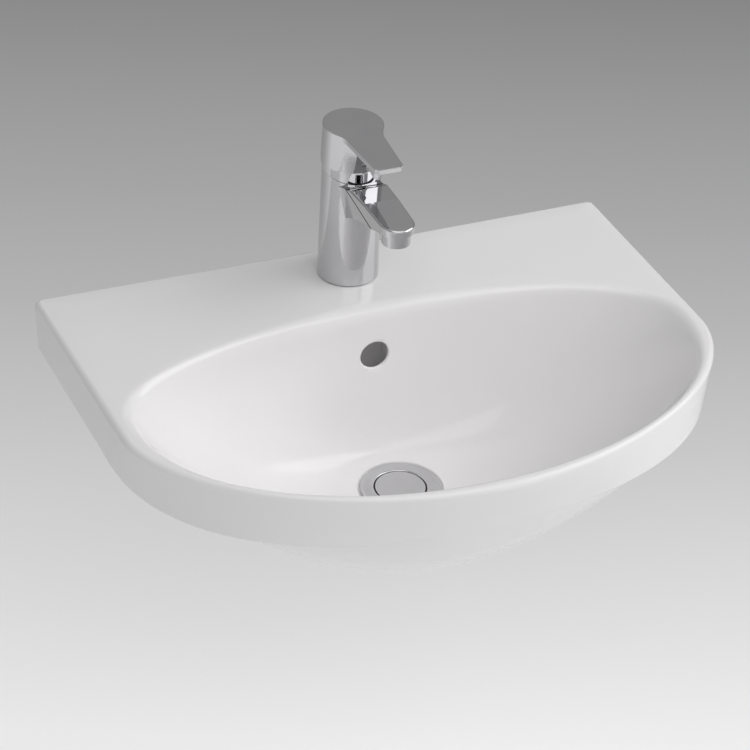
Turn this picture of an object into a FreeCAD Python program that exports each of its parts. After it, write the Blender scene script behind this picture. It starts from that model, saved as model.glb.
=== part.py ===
import FreeCAD, Part

# Semi recessed basin with a single lever tap and a click waste.
#
# Frame: the origin is the middle of the basin's back edge, in the plane of the worktop that it
# stands on. +X is to the right as the user sees it, -Y towards the user and +Z up. Millimetres.

import math
import os
import re
from types import SimpleNamespace

import Sketcher
from FreeCAD import Placement, Rotation, Vector

os.makedirs("parts", exist_ok=True)
doc = FreeCAD.newDocument("semi_recessed_basin")

# Driving sizes: name, value, meaning. Lengths are in mm and angles in degrees.
SIZES = [
    # rim slab
    ("basin_width", 500, "width over the back edge"),
    ("basin_depth", 348, "back edge to the front of the rim"),
    ("rim_height", 43, "worktop to the top of the rim"),
    ("side_taper", 0.0457, "each side comes in by this much for each mm forward"),
    ("side_run_top", 200, "length of the flat side at the rim"),
    ("side_run_low", 158, "length of the flat side at the worktop"),
    ("skirt_lean", 12, "the front skirt's foot stands back from the rim"),
    ("side_draft", 0.8, "draft of the flat sides over their height"),
    ("rim_roll", 5.5, "radius of the outer edge at the back corners"),
    ("rim_roll_front", 3, "radius of the outer edge round the front"),
    ("corner_round", 4, "radius of the two back corners"),
    ("skirt_wall", 11, "thickness of the skirt and the back wall"),
    ("deck_thickness", 14, "thickness of the deck"),
    # bowl
    ("side_rim", 13.8, "rim beside the bowl at its widest"),
    ("front_rim", 11.3, "rim in front of the bowl"),
    ("deck_run", 103.1, "back edge to the bowl's back edge"),
    ("widest_from_back", 185.7, "back edge to the bowl's widest line"),
    ("bowl_depth", 133, "rim to the floor of the well"),
    ("bowl_wall", 12, "thickness of the bowl's wall"),
    ("floor_thickness", 17, "thickness of the bowl's floor"),
    ("well_radius", 43, "flat well round the waste"),
    ("waste_from_back", 164.4, "back edge to the waste"),
    ("lip", 2.2, "radius of the bowl's edge"),
    # overflow
    ("overflow_radius", 11.5, "overflow hole in the bowl's back wall"),
    ("overflow_drop", 44, "rim to the overflow hole"),
    ("duct_width", 34, "inside width of the overflow duct"),
    ("duct_gap", 12, "inside depth of the overflow duct"),
    ("duct_wall", 8, "wall of the overflow duct"),
    ("boss_radius", 38, "boss under the well"),
    ("boss_drop", 34, "floor of the well to the foot of the boss"),
    ("chamber_radius", 29, "overflow chamber round the waste"),
    ("chamber_height", 10, "height of the overflow chamber"),
    ("chamber_drop", 12, "floor of the well to the roof of the chamber"),
    # waste
    ("waste_hole_radius", 23, "waste hole in the well"),
    ("recess_radius", 34.5, "recess for the waste flange"),
    ("recess_depth", 2, "depth of that recess"),
    ("flange_radius", 32.5, "waste flange"),
    ("flange_thickness", 1.8, "thickness of the waste flange"),
    ("seat_radius", 21.5, "mouth of the waste"),
    ("throat_radius", 22.4, "outside of the waste body in the hole"),
    ("throat_drop", 24, "floor of the well to the foot of the throat"),
    ("tail_radius", 20.95, "thread of the tail, G 1 1/4"),
    ("tail_bore", 18.5, "bore of the tail"),
    ("tail_drop", 66, "floor of the well to the end of the tail"),
    ("relief_drop", 49, "floor of the well to the relief between the backnut and the free thread"),
    ("slot_width", 9, "overflow slots of the waste body"),
    ("gasket_thickness", 1, "flange gasket"),
    ("lower_gasket_height", 4, "rubber gasket under the boss"),
    ("slip_washer_height", 2, "plastic washer under that gasket"),
    ("backnut_height", 8, "backnut"),
    ("backnut_flats", 54, "backnut across its flats"),
    ("plug_radius", 20.5, "plug"),
    ("plug_crown", 1.4, "the plug's top above the floor of the well"),
    ("plug_thickness", 3, "thickness of the plug's plate"),
    ("plug_hub", 5, "hub under the plug"),
    ("seal_radius", 21.1, "seal of the plug"),
    ("stem_radius", 2.5, "stem of the click unit"),
    ("stem_head", 4.2, "head of the stem"),
    ("stem_foot_drop", 46, "floor of the well to the foot of the stem"),
    ("click_radius", 6, "outside of the click unit"),
    ("click_bore", 4.6, "bore of the click unit"),
    ("click_drop", 24, "floor of the well to the top of the click unit"),
    ("click_length", 26, "length of the click unit"),
    ("bridge_drop", 44, "floor of the well to the bridge of the waste body"),
    ("bridge_height", 6, "height of that bridge"),
    ("plug_lift", 8, "travel of the plug"),
    ("spring_wire", 1, "wire of the click spring"),
    ("spring_turns", 7, "turns of the click spring"),
    # tap body
    ("tap_from_back", 42.4, "back edge to the tap's axis"),
    ("tap_hole_radius", 17.5, "tap hole in the deck"),
    ("tap_foot_radius", 25, "tap body at the deck"),
    ("tap_neck_radius", 23.6, "tap body at its top"),
    ("tap_neck_height", 106, "deck to the level of that radius"),
    ("foot_gap", 0.3, "tap body above the deck, held up by its gasket"),
    ("foot_round", 0.8, "rounding of the tap body's foot"),
    ("base_gasket_height", 1.9, "gasket under the tap body"),
    ("pocket_radius", 15.5, "pocket in the foot of the tap body"),
    ("pocket_height", 14, "height of that pocket"),
    ("inlet_radius", 4.5, "threaded inlets, M10 x 1"),
    ("inlet_length", 12, "thread of the inlets"),
    ("inlet_spread", 8.5, "tap axis to each inlet, sideways"),
    ("inlet_forward", 3, "tap axis to the inlets, forwards"),
    ("port_radius", 2.6, "water ways in the tap body"),
    ("stud_radius", 4, "fixing stud, M8"),
    ("stud_back", 9.5, "tap axis to the stud, backwards"),
    ("stud_drop", 50, "deck to the lower end of the stud"),
    ("clamp_radius", 22.5, "horseshoe washers under the deck"),
    ("clamp_slot", 15.5, "half width of the slot of the horseshoes"),
    ("fixing_gasket_height", 3, "rubber horseshoe"),
    ("fixing_washer_height", 2, "steel horseshoe"),
    ("fixing_nut_height", 7, "nut of the stud"),
    ("fixing_nut_flats", 13, "nut of the stud across its flats"),
    # spout and aerator
    ("spout_reach", 88.3, "tap axis to the aerator's axis"),
    ("spout_crown", 95, "deck to the top of the spout"),
    ("spout_tip_crown", 93, "deck to the top of the spout at its end"),
    ("spout_root_half", 16.6, "half width of the spout's top, in front of its flare"),
    ("spout_tip_half", 13.7, "half width of the spout's top at its end"),
    ("spout_flare", 34, "radius with which the spout's top swings into the body"),
    ("spout_low_root_half", 11.5, "half width of the spout's underside at the body"),
    ("spout_low_tip_half", 13, "half width of the spout's underside at its end"),
    ("spout_low_flare", 3, "radius of the flare at the underside"),
    ("spout_root_under", 57, "deck to the underside of the spout at the body"),
    ("spout_tip_under", 85.7, "deck to the underside of the spout at its end"),
    ("spout_edge", 1.5, "rounding of the spout's edges"),
    ("aerator_radius", 11.1, "aerator housing"),
    ("aerator_neck", 9.9, "thread of the aerator housing"),
    ("aerator_drop", 10.4, "spout's underside to the aerator's mouth"),
    ("aerator_bore", 8.7, "bore of the aerator housing"),
    ("aerator_engage", 2, "length of the aerator's thread"),
    # cartridge, measured along its own axis from the point where that crosses the tap's axis
    ("cartridge_level", 84, "deck to the crossing of the two axes"),
    ("cartridge_lean", 14, "lean of the cartridge towards the user"),
    ("seat_depth", 22.2, "crossing to the seat in the tap body"),
    ("cartridge_radius", 12.4, "cartridge housing"),
    ("neck_radius", 10.9, "neck of the cartridge housing"),
    ("neck_bore", 9.38, "bore of that neck"),
    ("disc_bore", 10.7, "bore of the housing round the discs"),
    ("bore_step", 2, "crossing to the step between the two bores"),
    ("shoulder_rise", 5.6, "crossing to the shoulder of the housing"),
    ("neck_rise", 12, "crossing to the top of the housing"),
    ("base_flange", 3.1, "flange of the cartridge's base"),
    ("base_height", 4.8, "base of the cartridge"),
    ("fixed_disc_radius", 10.4, "fixed ceramic disc"),
    ("fixed_disc_height", 3.5, "height of that disc"),
    ("moving_disc_radius", 7.2, "moving ceramic disc and its carrier"),
    ("moving_disc_flat", 6.5, "half width over the flats of that disc"),
    ("moving_disc_height", 3.2, "height of that disc"),
    ("carrier_plate", 4, "plate of the disc carrier"),
    ("carrier_height", 6.6, "height of the disc carrier"),
    ("socket_wall", 2.05, "wall of the carrier's socket"),
    ("water_port", 1.9, "ports of the discs"),
    ("water_port_side", 5.2, "axis to each inlet port, sideways"),
    ("water_port_front", 3.2, "axis to the inlet ports, forwards"),
    ("outlet_port_back", 1.2, "axis to the outlet port, backwards"),
    ("sleeve_radius", 9.3, "turning sleeve"),
    ("sleeve_rise", 14.6, "crossing to the top of the sleeve"),
    ("sleeve_foot", 2.4, "crossing to the foot of the sleeve's body"),
    ("pivot_rise", 9, "crossing to the pivot pin"),
    ("pivot_radius", 1.5, "pivot pin"),
    ("pivot_half", 9, "half length of the pivot pin"),
    ("ball_radius", 2.8, "ball at the lower end of the spindle"),
    ("ball_drop", 14.6, "pivot pin to the ball"),
    ("ball_back", 12.3, "the arm with the ball leans back by this angle when the tap is shut"),
    ("arm_radius", 2, "arm between the pivot and the ball"),
    ("spindle_side", 7, "side of the square spindle"),
    ("spindle_rise", 41, "crossing to the top of the spindle"),
    ("nut_radius", 14.9, "thread of the cartridge nut"),
    ("nut_bore", 11.2, "bore of the cartridge nut"),
    ("nut_height", 5.9, "height of the cartridge nut"),
    ("joint_rise", 13.4, "crossing to the top face of the tap body"),
    ("dome_radius", 16.8, "cover ring, part of a sphere about the pivot pin"),
    ("dome_wall", 1.5, "wall of the cover ring"),
    ("dome_foot", 12.3, "crossing to the foot of the cover ring"),
    ("dome_mouth", 12.6, "opening of the cover ring"),
    # lever
    ("lever_gap", 1.1, "gap between the tap body and the lever"),
    ("lever_foot_radius", 24.6, "lever cap at its lower edge"),
    ("lever_belly_radius", 25.1, "lever cap at its widest"),
    ("lever_belly_height", 103, "deck to the lever cap's widest line"),
    ("lever_crown_radius", 23.8, "lever cap at its top"),
    ("lever_crown", 134.2, "deck to the top of the lever on the tap's axis"),
    ("lever_slope", 3.3, "slope of the lever's top towards its tip"),
    ("lever_edge", 0.6, "rounding of the lever's top edge"),
    ("lever_bore", 20.5, "hollow of the lever cap"),
    ("lever_ceiling", 118, "deck to the roof of that hollow"),
    ("lever_boss_radius", 8, "boss round the spindle"),
    ("lever_rib_half", 4.4, "half width of the rib from the boss to the front"),
    ("lever_lift", 24, "travel of the lever"),
    ("blade_reach", 72, "tap axis to the lever's tip"),
    ("blade_root_half", 14.8, "half width of the blade in front of its flare"),
    ("blade_flare", 22, "radius with which the blade swings into the cap"),
    ("blade_tip_half", 11.6, "half width of the blade at its tip"),
    ("blade_root_thickness", 4.5, "thickness of the blade at the cap"),
    ("blade_tip_thickness", 3.8, "thickness of the blade at its tip"),
    ("screw_radius", 2.4, "grub screw of the lever"),
    ("screw_rise", 31, "crossing to the grub screw"),
    ("screw_length", 8, "length of the grub screw"),
    ("indicator_radius", 2.4, "indicator plug in front of the grub screw"),
    # clearances
    ("fit_gap", 0.1, "play of pieces that are fixed in each other"),
    ("free_gap", 0.3, "play of pieces that move past each other"),
    ("pin_gap", 0.05, "play of the spindle on the pivot pin"),
]

sheet = doc.addObject("Spreadsheet::Sheet", "sizes")
for row, (name, value, meaning) in enumerate(SIZES, start=1):
    sheet.set("A%d" % row, name)
    sheet.set("B%d" % row, str(value))
    sheet.set("C%d" % row, meaning)
    sheet.setAlias("B%d" % row, name)
doc.recompute()
size = SimpleNamespace(**{name: float(sheet.get(name)) for name, _, _ in SIZES})

# Where the assemblies stand, as expressions for pieces that are bound to the sheet.
WASTE_PLACE = (
    "placement(vector(0; -sizes.waste_from_back; sizes.rim_height - sizes.bowl_depth);"
    " rotation(vector(1; 0; 0); 0))")
TAP_PLACE = (
    "placement(vector(0; -sizes.tap_from_back; sizes.rim_height); rotation(vector(1; 0; 0); 0))")
AERATOR_PLACE = (
    "placement(vector(0; -sizes.tap_from_back - sizes.spout_reach;"
    " sizes.rim_height + sizes.spout_tip_under); rotation(vector(1; 0; 0); 0))")
STUD_PLACE = (
    "placement(vector(0; -sizes.tap_from_back + sizes.stud_back; sizes.rim_height);"
    " rotation(vector(1; 0; 0); 0))")
CARTRIDGE_PLACE = (
    "placement(vector(0; -sizes.tap_from_back; sizes.rim_height + sizes.cartridge_level);"
    " rotation(vector(1; 0; 0); sizes.cartridge_lean))")
SCREW_PLACE = (
    "placement(vector(0; -sizes.tap_from_back - sizes.screw_rise * sin(sizes.cartridge_lean * 1deg);"
    " sizes.rim_height + sizes.cartridge_level + sizes.screw_rise * cos(sizes.cartridge_lean * 1deg));"
    " rotation(vector(1; 0; 0); sizes.cartridge_lean + 90))")

# The same places as numbers, for pieces that are made of plain shapes.
waste_at = Placement(
    Vector(0, -size.waste_from_back, size.rim_height - size.bowl_depth), Rotation())
tap_at = Placement(Vector(0, -size.tap_from_back, size.rim_height), Rotation())
cartridge_at = Placement(
    Vector(0, -size.tap_from_back, size.rim_height + size.cartridge_level),
    Rotation(Vector(1, 0, 0), size.cartridge_lean))


# ---------------------------------------------------------------- common ways of making a piece

NAMES = {name for name, _, _ in SIZES}


def bound(text):
    """Expression on the sheet from text with bare names, such as 'plug_crown - 3'."""
    return re.sub("[a-z_]+", lambda m: "sizes." * (m.group() in NAMES) + m.group(), text)


def read_values(texts):
    """The numbers that expressions have now, read through a spare column of the sheet."""
    for row, text in enumerate(texts, start=1):
        sheet.set("E%d" % row, "=" + text)
    sheet.recompute()
    return [float(sheet.get("E%d" % row)) for row in range(1, len(texts) + 1)]


def turned(name, corners, place):
    """A piece turned about its own Z axis; corners are (radius, height) expressions."""
    body = doc.addObject("PartDesign::Body", name)
    body.Label = name
    sketch = body.newObject("Sketcher::SketchObject", name + "_outline")
    plane = next(o for o in body.Origin.OriginFeatures if o.Role == "XZ_Plane")
    sketch.AttachmentSupport = (plane, [""])
    sketch.MapMode = "FlatFace"
    across = read_values([a for a, _ in corners])
    up = read_values([b for _, b in corners])
    points = [Vector(a, b, 0) for a, b in zip(across, up)]
    for start, end in zip(points, points[1:] + points[:1]):
        sketch.addGeometry(Part.LineSegment(start, end), False)
    for edge in range(len(points)):
        following = (edge + 1) % len(points)
        sketch.addConstraint(Sketcher.Constraint("Coincident", edge, 2, following, 1))
    for edge, (radius_text, height_text) in enumerate(corners):
        for text, kind, axis, value in (
                (radius_text, "DistanceX", -2, across[edge]),
                (height_text, "DistanceY", -1, up[edge])):
            if text == "0":
                sketch.addConstraint(Sketcher.Constraint("PointOnObject", edge, 1, axis))
                continue
            index = sketch.addConstraint(Sketcher.Constraint(kind, -1, 1, edge, 1, value))
            sketch.setExpression("Constraints[%d]" % index, bound(text))
    turn = body.newObject("PartDesign::Revolution", name + "_turn")
    turn.Profile = sketch
    turn.ReferenceAxis = (sketch, ["V_Axis"])
    turn.Angle = 360
    body.Tip = turn
    body.setExpression("Placement", place)
    return body


def ring(name, inner, outer, low, high, place):
    """A plain ring or, with an inner radius of 0, a disc."""
    return turned(name, [(inner, low), (outer, low), (outer, high), (inner, high)], place)


def plain(name, shape, place):
    """A piece made of a plain shape, standing at its own placement."""
    piece = doc.addObject("Part::Feature", name)
    piece.Label = name
    piece.Shape = shape
    piece.Placement = place.multiply(shape.Placement)
    return piece


def lathe(points):
    """Shape turned about Z from (radius, height) pairs."""
    corners = [Vector(r, 0, z) for r, z in points]
    face = Part.Face(Part.makePolygon(corners + corners[:1]))
    return face.revolve(Vector(0, 0, 0), Vector(0, 0, 1), 360)


def rod(radius, start, end):
    """Cylinder between two points."""
    start = Vector(*start)
    end = Vector(*end)
    return Part.makeCylinder(radius, (end - start).Length, start, end - start)


def block(x_range, y_range, z_range):
    """Box over three ranges."""
    lows = [min(r) for r in (x_range, y_range, z_range)]
    spans = [max(r) - min(r) for r in (x_range, y_range, z_range)]
    return Part.makeBox(*spans, Vector(*lows))


def hexagon(flats, low, high):
    """Hexagonal prism about Z."""
    radius = flats / math.sqrt(3)
    corners = [Vector(radius * math.cos(math.radians(60 * i)),
                      radius * math.sin(math.radians(60 * i)), low) for i in range(6)]
    face = Part.Face(Part.makePolygon(corners + corners[:1]))
    return face.extrude(Vector(0, 0, high - low))


# ---------------------------------------------------------------- basin

def outline_point(angle, share):
    """Point of the front outline; share is 0 at the rim and 1 at the worktop."""
    points = []
    for run, draft, lean, power in (
            (size.side_run_top, 0, 0, 1.8),
            (size.side_run_low, size.side_draft, size.skirt_lean, 2.3)):
        half_width = size.basin_width / 2 - size.side_taper * run - draft
        length = size.basin_depth - lean - run
        across = abs(math.cos(angle)) ** (2 / power) * math.copysign(1, math.cos(angle))
        forward = abs(math.sin(angle)) ** (2 / power)
        points.append(Vector(half_width * across, -run - length * forward, 0))
    return points[0] * (1 - share) + points[1] * share


def slab_wire(share, inset, height):
    """Closed outline of the slab at one level, pulled in by an inset."""
    count = 26
    angles = [math.pi * i / count for i in range(count + 1)]
    front = []
    for angle in angles:
        here = outline_point(angle, share)
        step = 0.01
        ahead = outline_point(min(angle + step, math.pi), share)
        behind = outline_point(max(angle - step, 0), share)
        along = (ahead - behind).normalize()
        inward = Vector(along.y, -along.x, 0)
        front.append(here + inward * inset + Vector(0, 0, height))
    half = size.basin_width / 2 - size.side_draft * share - inset
    back_right = Vector(half, -inset, height)
    back_left = Vector(-half, -inset, height)
    curve = Part.BSplineCurve()
    curve.interpolate(front)
    return Part.Wire([
        Part.LineSegment(back_left, back_right).toShape(),
        Part.LineSegment(back_right, front[0]).toShape(),
        curve.toShape(),
        Part.LineSegment(front[-1], back_left).toShape()])


def filleted(name, solid, rolls):
    """Solid with fillets that may change along an edge; rolls are (edge, radius, radius)."""
    source = doc.addObject("Part::Feature", name + "_sharp")
    source.Shape = solid
    fillet = doc.addObject("Part::Fillet", name + "_round")
    fillet.Base = source
    fillet.Edges = rolls
    doc.recompute()
    shape = fillet.Shape.copy()
    doc.removeObject(fillet.Name)
    doc.removeObject(source.Name)
    return shape


def slab():
    """Rim slab with its oblique skirt, rounded at its outer edges."""
    top = slab_wire(0, 0, size.rim_height)
    foot = slab_wire(1, 0, 0)
    solid = Part.makeLoft([top, foot], True, True)
    corners = [e for e in solid.Edges
               if all(abs(v.Y) < 1e-6 for v in e.Vertexes)
               and abs(e.Vertexes[0].Z - e.Vertexes[1].Z) > 1]
    solid = solid.makeFillet(size.corner_round, corners)
    level = size.rim_height - 1e-4
    rolls = []
    for number, edge in enumerate(solid.Edges, start=1):
        if all(v.Z > level for v in edge.Vertexes):
            radii = [size.rim_roll if v.Y > -size.side_run_top / 2 else size.rim_roll_front
                     for v in (edge.firstVertex(), edge.lastVertex())]
            rolls.append((number, *radii))
    return filleted("slab", solid, rolls)


def hollow():
    """Space under the deck, inside the skirt and the back wall."""
    ceiling = size.rim_height - size.deck_thickness
    roof_share = size.deck_thickness / size.rim_height
    roof = slab_wire(roof_share, size.skirt_wall, ceiling)
    mouth = slab_wire(1, size.skirt_wall, -1)
    return Part.makeLoft([roof, mouth], True, True)


def bowl_wire(half, front, back, middle, powers, height):
    """Closed outline of the bowl: two superellipse halves that meet on the middle line."""
    count = 48
    points = []
    for i in range(count):
        angle = 2 * math.pi * i / count
        power = powers[1] if math.sin(angle) >= 0 else powers[0]
        reach = (back - middle) if math.sin(angle) >= 0 else (middle - front)
        x = half * abs(math.cos(angle)) ** (2 / power) * math.copysign(1, math.cos(angle))
        y = middle + reach * abs(math.sin(angle)) ** (2 / power) * math.copysign(
            1, math.sin(angle))
        points.append(Vector(x, y, height))
    curve = Part.BSplineCurve()
    curve.interpolate(points, True)
    return Part.Wire([curve.toShape()])


def signed_power(value, power):
    """Power that keeps the sign of its value."""
    return math.copysign(abs(value) ** power, value)


def bowl_shape(depth_total, wall, start, powers, skirt=False):
    """Bowl solid from its depth, wall and first level; depths are measured from the rim."""
    well_y = -size.waste_from_back
    middle_rim = -size.widest_from_back
    half_rim = (size.basin_width / 2 - size.side_taper * size.widest_from_back - size.side_rim
                + wall)
    front_rim = -size.basin_depth + size.front_rim - wall
    back_rim = -size.deck_run + wall
    wires = []
    levels = 9
    first = math.sqrt(1 - start / depth_total)
    for i in range(levels):
        share = first * (1 - i / (levels - 1))
        depth = depth_total * (1 - share ** 2)
        part = depth / depth_total
        half = size.well_radius + (half_rim - size.well_radius) * share
        front_share = math.sqrt(max(1 - signed_power(part, 1.3 if wall == 0 else 1.474), 0))
        back_share = math.sqrt(max(1 - signed_power(part, 5 if wall == 0 else 4), 0))
        front = well_y - size.well_radius + (
            front_rim - well_y + size.well_radius) * front_share
        back = well_y + size.well_radius + (back_rim - well_y - size.well_radius) * back_share
        middle = well_y + (middle_rim - well_y) * share
        if skirt and depth < size.rim_height:
            foot = -size.basin_depth + size.skirt_lean
            lean = size.skirt_lean * (size.rim_height - depth) / size.rim_height
            front = foot - lean + 1
        fade = (1 - share)
        front_power = powers[0] + (powers[1] - powers[0]) * fade
        wires.append(bowl_wire(half, front, back, middle, (front_power, powers[2]),
                               size.rim_height - depth))
    return Part.makeLoft(wires, True, False)


def bowl_cut():
    """The space of the bowl, reaching above the rim."""
    return bowl_shape(size.bowl_depth, 0, -6, (2.09, 2.09, 2.18))


def bulge():
    """The outside of the bowl under the deck."""
    start = size.deck_thickness - 4
    depth = size.bowl_depth + size.floor_thickness
    return bowl_shape(depth, size.bowl_wall, start, (2.3, 1.95, 2.1), skirt=True)


def basin_shape():
    """The whole casting with its overflow and its holes."""
    well = size.rim_height - size.bowl_depth
    waste_y = -size.waste_from_back
    chamber_top = well - size.chamber_drop
    chamber_low = chamber_top - size.chamber_height
    foot = well - size.boss_drop
    duct_back = -size.deck_run + size.bowl_wall + 1 + size.duct_gap
    duct_front = duct_back - size.duct_gap
    boss_half = size.duct_width / 2 + size.duct_wall
    overflow_z = size.rim_height - size.overflow_drop

    solid = slab().cut(hollow())
    solid = solid.fuse(bulge())
    solid = solid.fuse(rod(size.boss_radius, (0, waste_y, foot), (0, waste_y, well - 4)))
    boss_top = overflow_z + size.overflow_radius + size.duct_wall - 6
    solid = solid.fuse(block(
        (-boss_half, boss_half),
        (duct_back + size.duct_wall, waste_y + size.chamber_radius - 8),
        (chamber_low - 4, boss_top + 4)))
    solid = solid.cut(bowl_cut())

    mouth = [e for e in solid.Edges
             if e.BoundBox.ZMin > size.rim_height - 0.01
             and e.BoundBox.YMax < -size.deck_run + 1
             and e.BoundBox.XMax < size.basin_width / 2 - 18]
    solid = solid.makeFillet(size.lip, mouth)

    duct_half = size.duct_width / 2
    solid = solid.cut(block((-duct_half, duct_half), (duct_front, duct_back),
                            (chamber_low, boss_top - 4)))
    solid = solid.cut(block((-duct_half, duct_half), (waste_y + size.chamber_radius - 8, duct_back),
                            (chamber_low, chamber_top)))
    solid = solid.cut(rod(size.chamber_radius, (0, waste_y, chamber_low), (0, waste_y, chamber_top)))
    solid = solid.cut(rod(size.overflow_radius, (0, -size.deck_run - 12, overflow_z),
                          (0, duct_back - 2, overflow_z)))
    solid = solid.cut(rod(size.waste_hole_radius, (0, waste_y, foot - 1), (0, waste_y, well + 1)))
    solid = solid.cut(rod(size.recess_radius, (0, waste_y, well - size.recess_depth),
                          (0, waste_y, well + 4)))
    solid = solid.cut(rod(size.tap_hole_radius, (0, -size.tap_from_back, 0),
                          (0, -size.tap_from_back, size.rim_height + 1)))
    return solid


plain("basin", basin_shape(), Placement())


# ---------------------------------------------------------------- waste

def waste_body_shape():
    """Flange, throat with overflow slots, threaded tail and the bridge of the click unit."""
    top = size.flange_thickness / 2
    low = -size.flange_thickness / 2
    relief_foot = -size.relief_drop - 2
    shape = lathe([
        (size.seat_radius, top), (size.flange_radius - 0.7, top),
        (size.flange_radius, top - 0.6), (size.flange_radius, low),
        (size.throat_radius, low), (size.throat_radius, -size.throat_drop),
        (size.tail_radius, -size.throat_drop - 1), (size.tail_radius, -size.relief_drop),
        (size.tail_radius - 0.5, -size.relief_drop), (size.tail_radius - 0.5, relief_foot),
        (size.tail_radius, relief_foot), (size.tail_radius, -size.tail_drop),
        (size.tail_bore, -size.tail_drop), (size.tail_bore, -5.6),
        (size.seat_radius, -4.8)])
    half = size.slot_width / 2
    slot_top = -size.chamber_drop - 1
    slot_low = slot_top - size.chamber_height + 2
    reach = size.throat_radius + 1
    shape = shape.cut(block((-half, half), (-reach, reach), (slot_low, slot_top)))
    shape = shape.cut(block((-reach, reach), (-half, half), (slot_low, slot_top)))
    bridge_low = -size.bridge_drop - size.bridge_height
    shape = shape.fuse(block((-size.tail_bore - 1, size.tail_bore + 1), (-3, 3),
                             (bridge_low, -size.bridge_drop)))
    hub = size.click_radius + 2.6
    shape = shape.fuse(rod(hub, (0, 0, bridge_low - 1), (0, 0, -size.bridge_drop + 2)))
    bore = size.click_radius + size.fit_gap
    return shape.cut(rod(bore, (0, 0, bridge_low - 2), (0, 0, -size.bridge_drop + 3)))


def click_spring_shape():
    """Coil round the stem, between the stem's head and the bottom of the click unit."""
    wire = size.spring_wire / 2
    low = -size.click_drop - size.click_length + 2 + wire
    high = -size.click_drop - 13.8 - wire
    radius = size.click_bore - 0.45 - wire
    helix = Part.makeHelix((high - low) / size.spring_turns, high - low, radius)
    profile = Part.Wire([Part.makeCircle(wire, Vector(radius, 0, 0), Vector(0, 1, 0))])
    coil = Part.Wire(helix).makePipeShell([profile], True, True)
    coil.translate(Vector(0, 0, low))
    return coil


plain("waste_body", waste_body_shape(), waste_at)
ring("flange_gasket", "throat_radius + 0.8", "flange_radius - 1",
     "-recess_depth + 0.05", "-recess_depth + gasket_thickness", WASTE_PLACE)
ring("lower_gasket", "tail_radius + fit_gap", "boss_radius - 2",
     "-boss_drop - fit_gap - lower_gasket_height", "-boss_drop - fit_gap", WASTE_PLACE)
ring("slip_washer", "tail_radius + fit_gap", "boss_radius - 4",
     "-boss_drop - fit_gap * 2 - lower_gasket_height - slip_washer_height",
     "-boss_drop - fit_gap * 2 - lower_gasket_height", WASTE_PLACE)

nut_top = (-size.boss_drop - size.fit_gap * 3 - size.lower_gasket_height
           - size.slip_washer_height)
backnut = hexagon(size.backnut_flats, nut_top - size.backnut_height, nut_top)
backnut = backnut.common(lathe([
    (0, nut_top), (size.backnut_flats / 2 + 4, nut_top),
    (size.backnut_flats / 2 + 4, nut_top - size.backnut_height + 3),
    (size.backnut_flats / 2 - 1, nut_top - size.backnut_height),
    (0, nut_top - size.backnut_height)]))
backnut = backnut.cut(rod(size.tail_radius + size.fit_gap, (0, 0, nut_top + 1),
                          (0, 0, nut_top - size.backnut_height - 1)))
plain("waste_backnut", backnut, waste_at)

turned("waste_plug", [
    ("0", "plug_crown"), ("plug_radius - 0.8", "plug_crown"), ("plug_radius", "plug_crown - 0.7"),
    ("plug_radius", "plug_crown - plug_thickness"), ("14", "plug_crown - plug_thickness"),
    ("14", "-4.4"), ("plug_hub", "-4.4"), ("plug_hub", "-8"),
    ("stem_radius + fit_gap", "-8"), ("stem_radius + fit_gap", "-2.6"), ("0", "-2.6")],
    WASTE_PLACE)
ring("plug_seal", "14.1", "seal_radius", "-4.2", "plug_crown - plug_thickness - fit_gap",
     WASTE_PLACE)
turned("click_stem", [
    ("0", "-2.7"), ("stem_radius", "-2.7"), ("stem_radius", "-click_drop - 11.6"),
    ("stem_head", "-click_drop - 11.6"), ("stem_head", "-click_drop - 13.6"),
    ("stem_radius", "-click_drop - 13.6"), ("stem_radius", "-stem_foot_drop"),
    ("0", "-stem_foot_drop")],
    WASTE_PLACE)
turned("click_housing", [
    ("stem_radius + free_gap", "-click_drop"), ("click_radius", "-click_drop"),
    ("click_radius", "-click_drop - click_length"), ("0", "-click_drop - click_length"),
    ("0", "-click_drop - click_length + 1.6"), ("click_bore", "-click_drop - click_length + 1.6"),
    ("click_bore", "-click_drop - 3"), ("stem_radius + free_gap", "-click_drop - 3")],
    WASTE_PLACE)
plain("click_spring", click_spring_shape(), waste_at)


# ---------------------------------------------------------------- tap body

lean = math.radians(size.cartridge_lean)


def tilted(shape):
    """A shape of the cartridge's own frame, moved into the frame of the tap."""
    moved = shape.copy()
    moved.Placement = tap_at.inverse().multiply(cartridge_at).multiply(moved.Placement)
    return moved


def tilted_point(x, y, rise):
    """A point of the cartridge's own frame, in the frame of the tap."""
    return tap_at.inverse().multiply(cartridge_at).multVec(Vector(x, y, rise))


def extruded(points, span):
    """Prism of a polygon of (y, z) points, half of it on each side of the middle plane."""
    corners = [Vector(-span / 2, a, b) for a, b in points]
    return Part.Face(Part.makePolygon(corners + corners[:1])).extrude(Vector(span, 0, 0))


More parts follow.
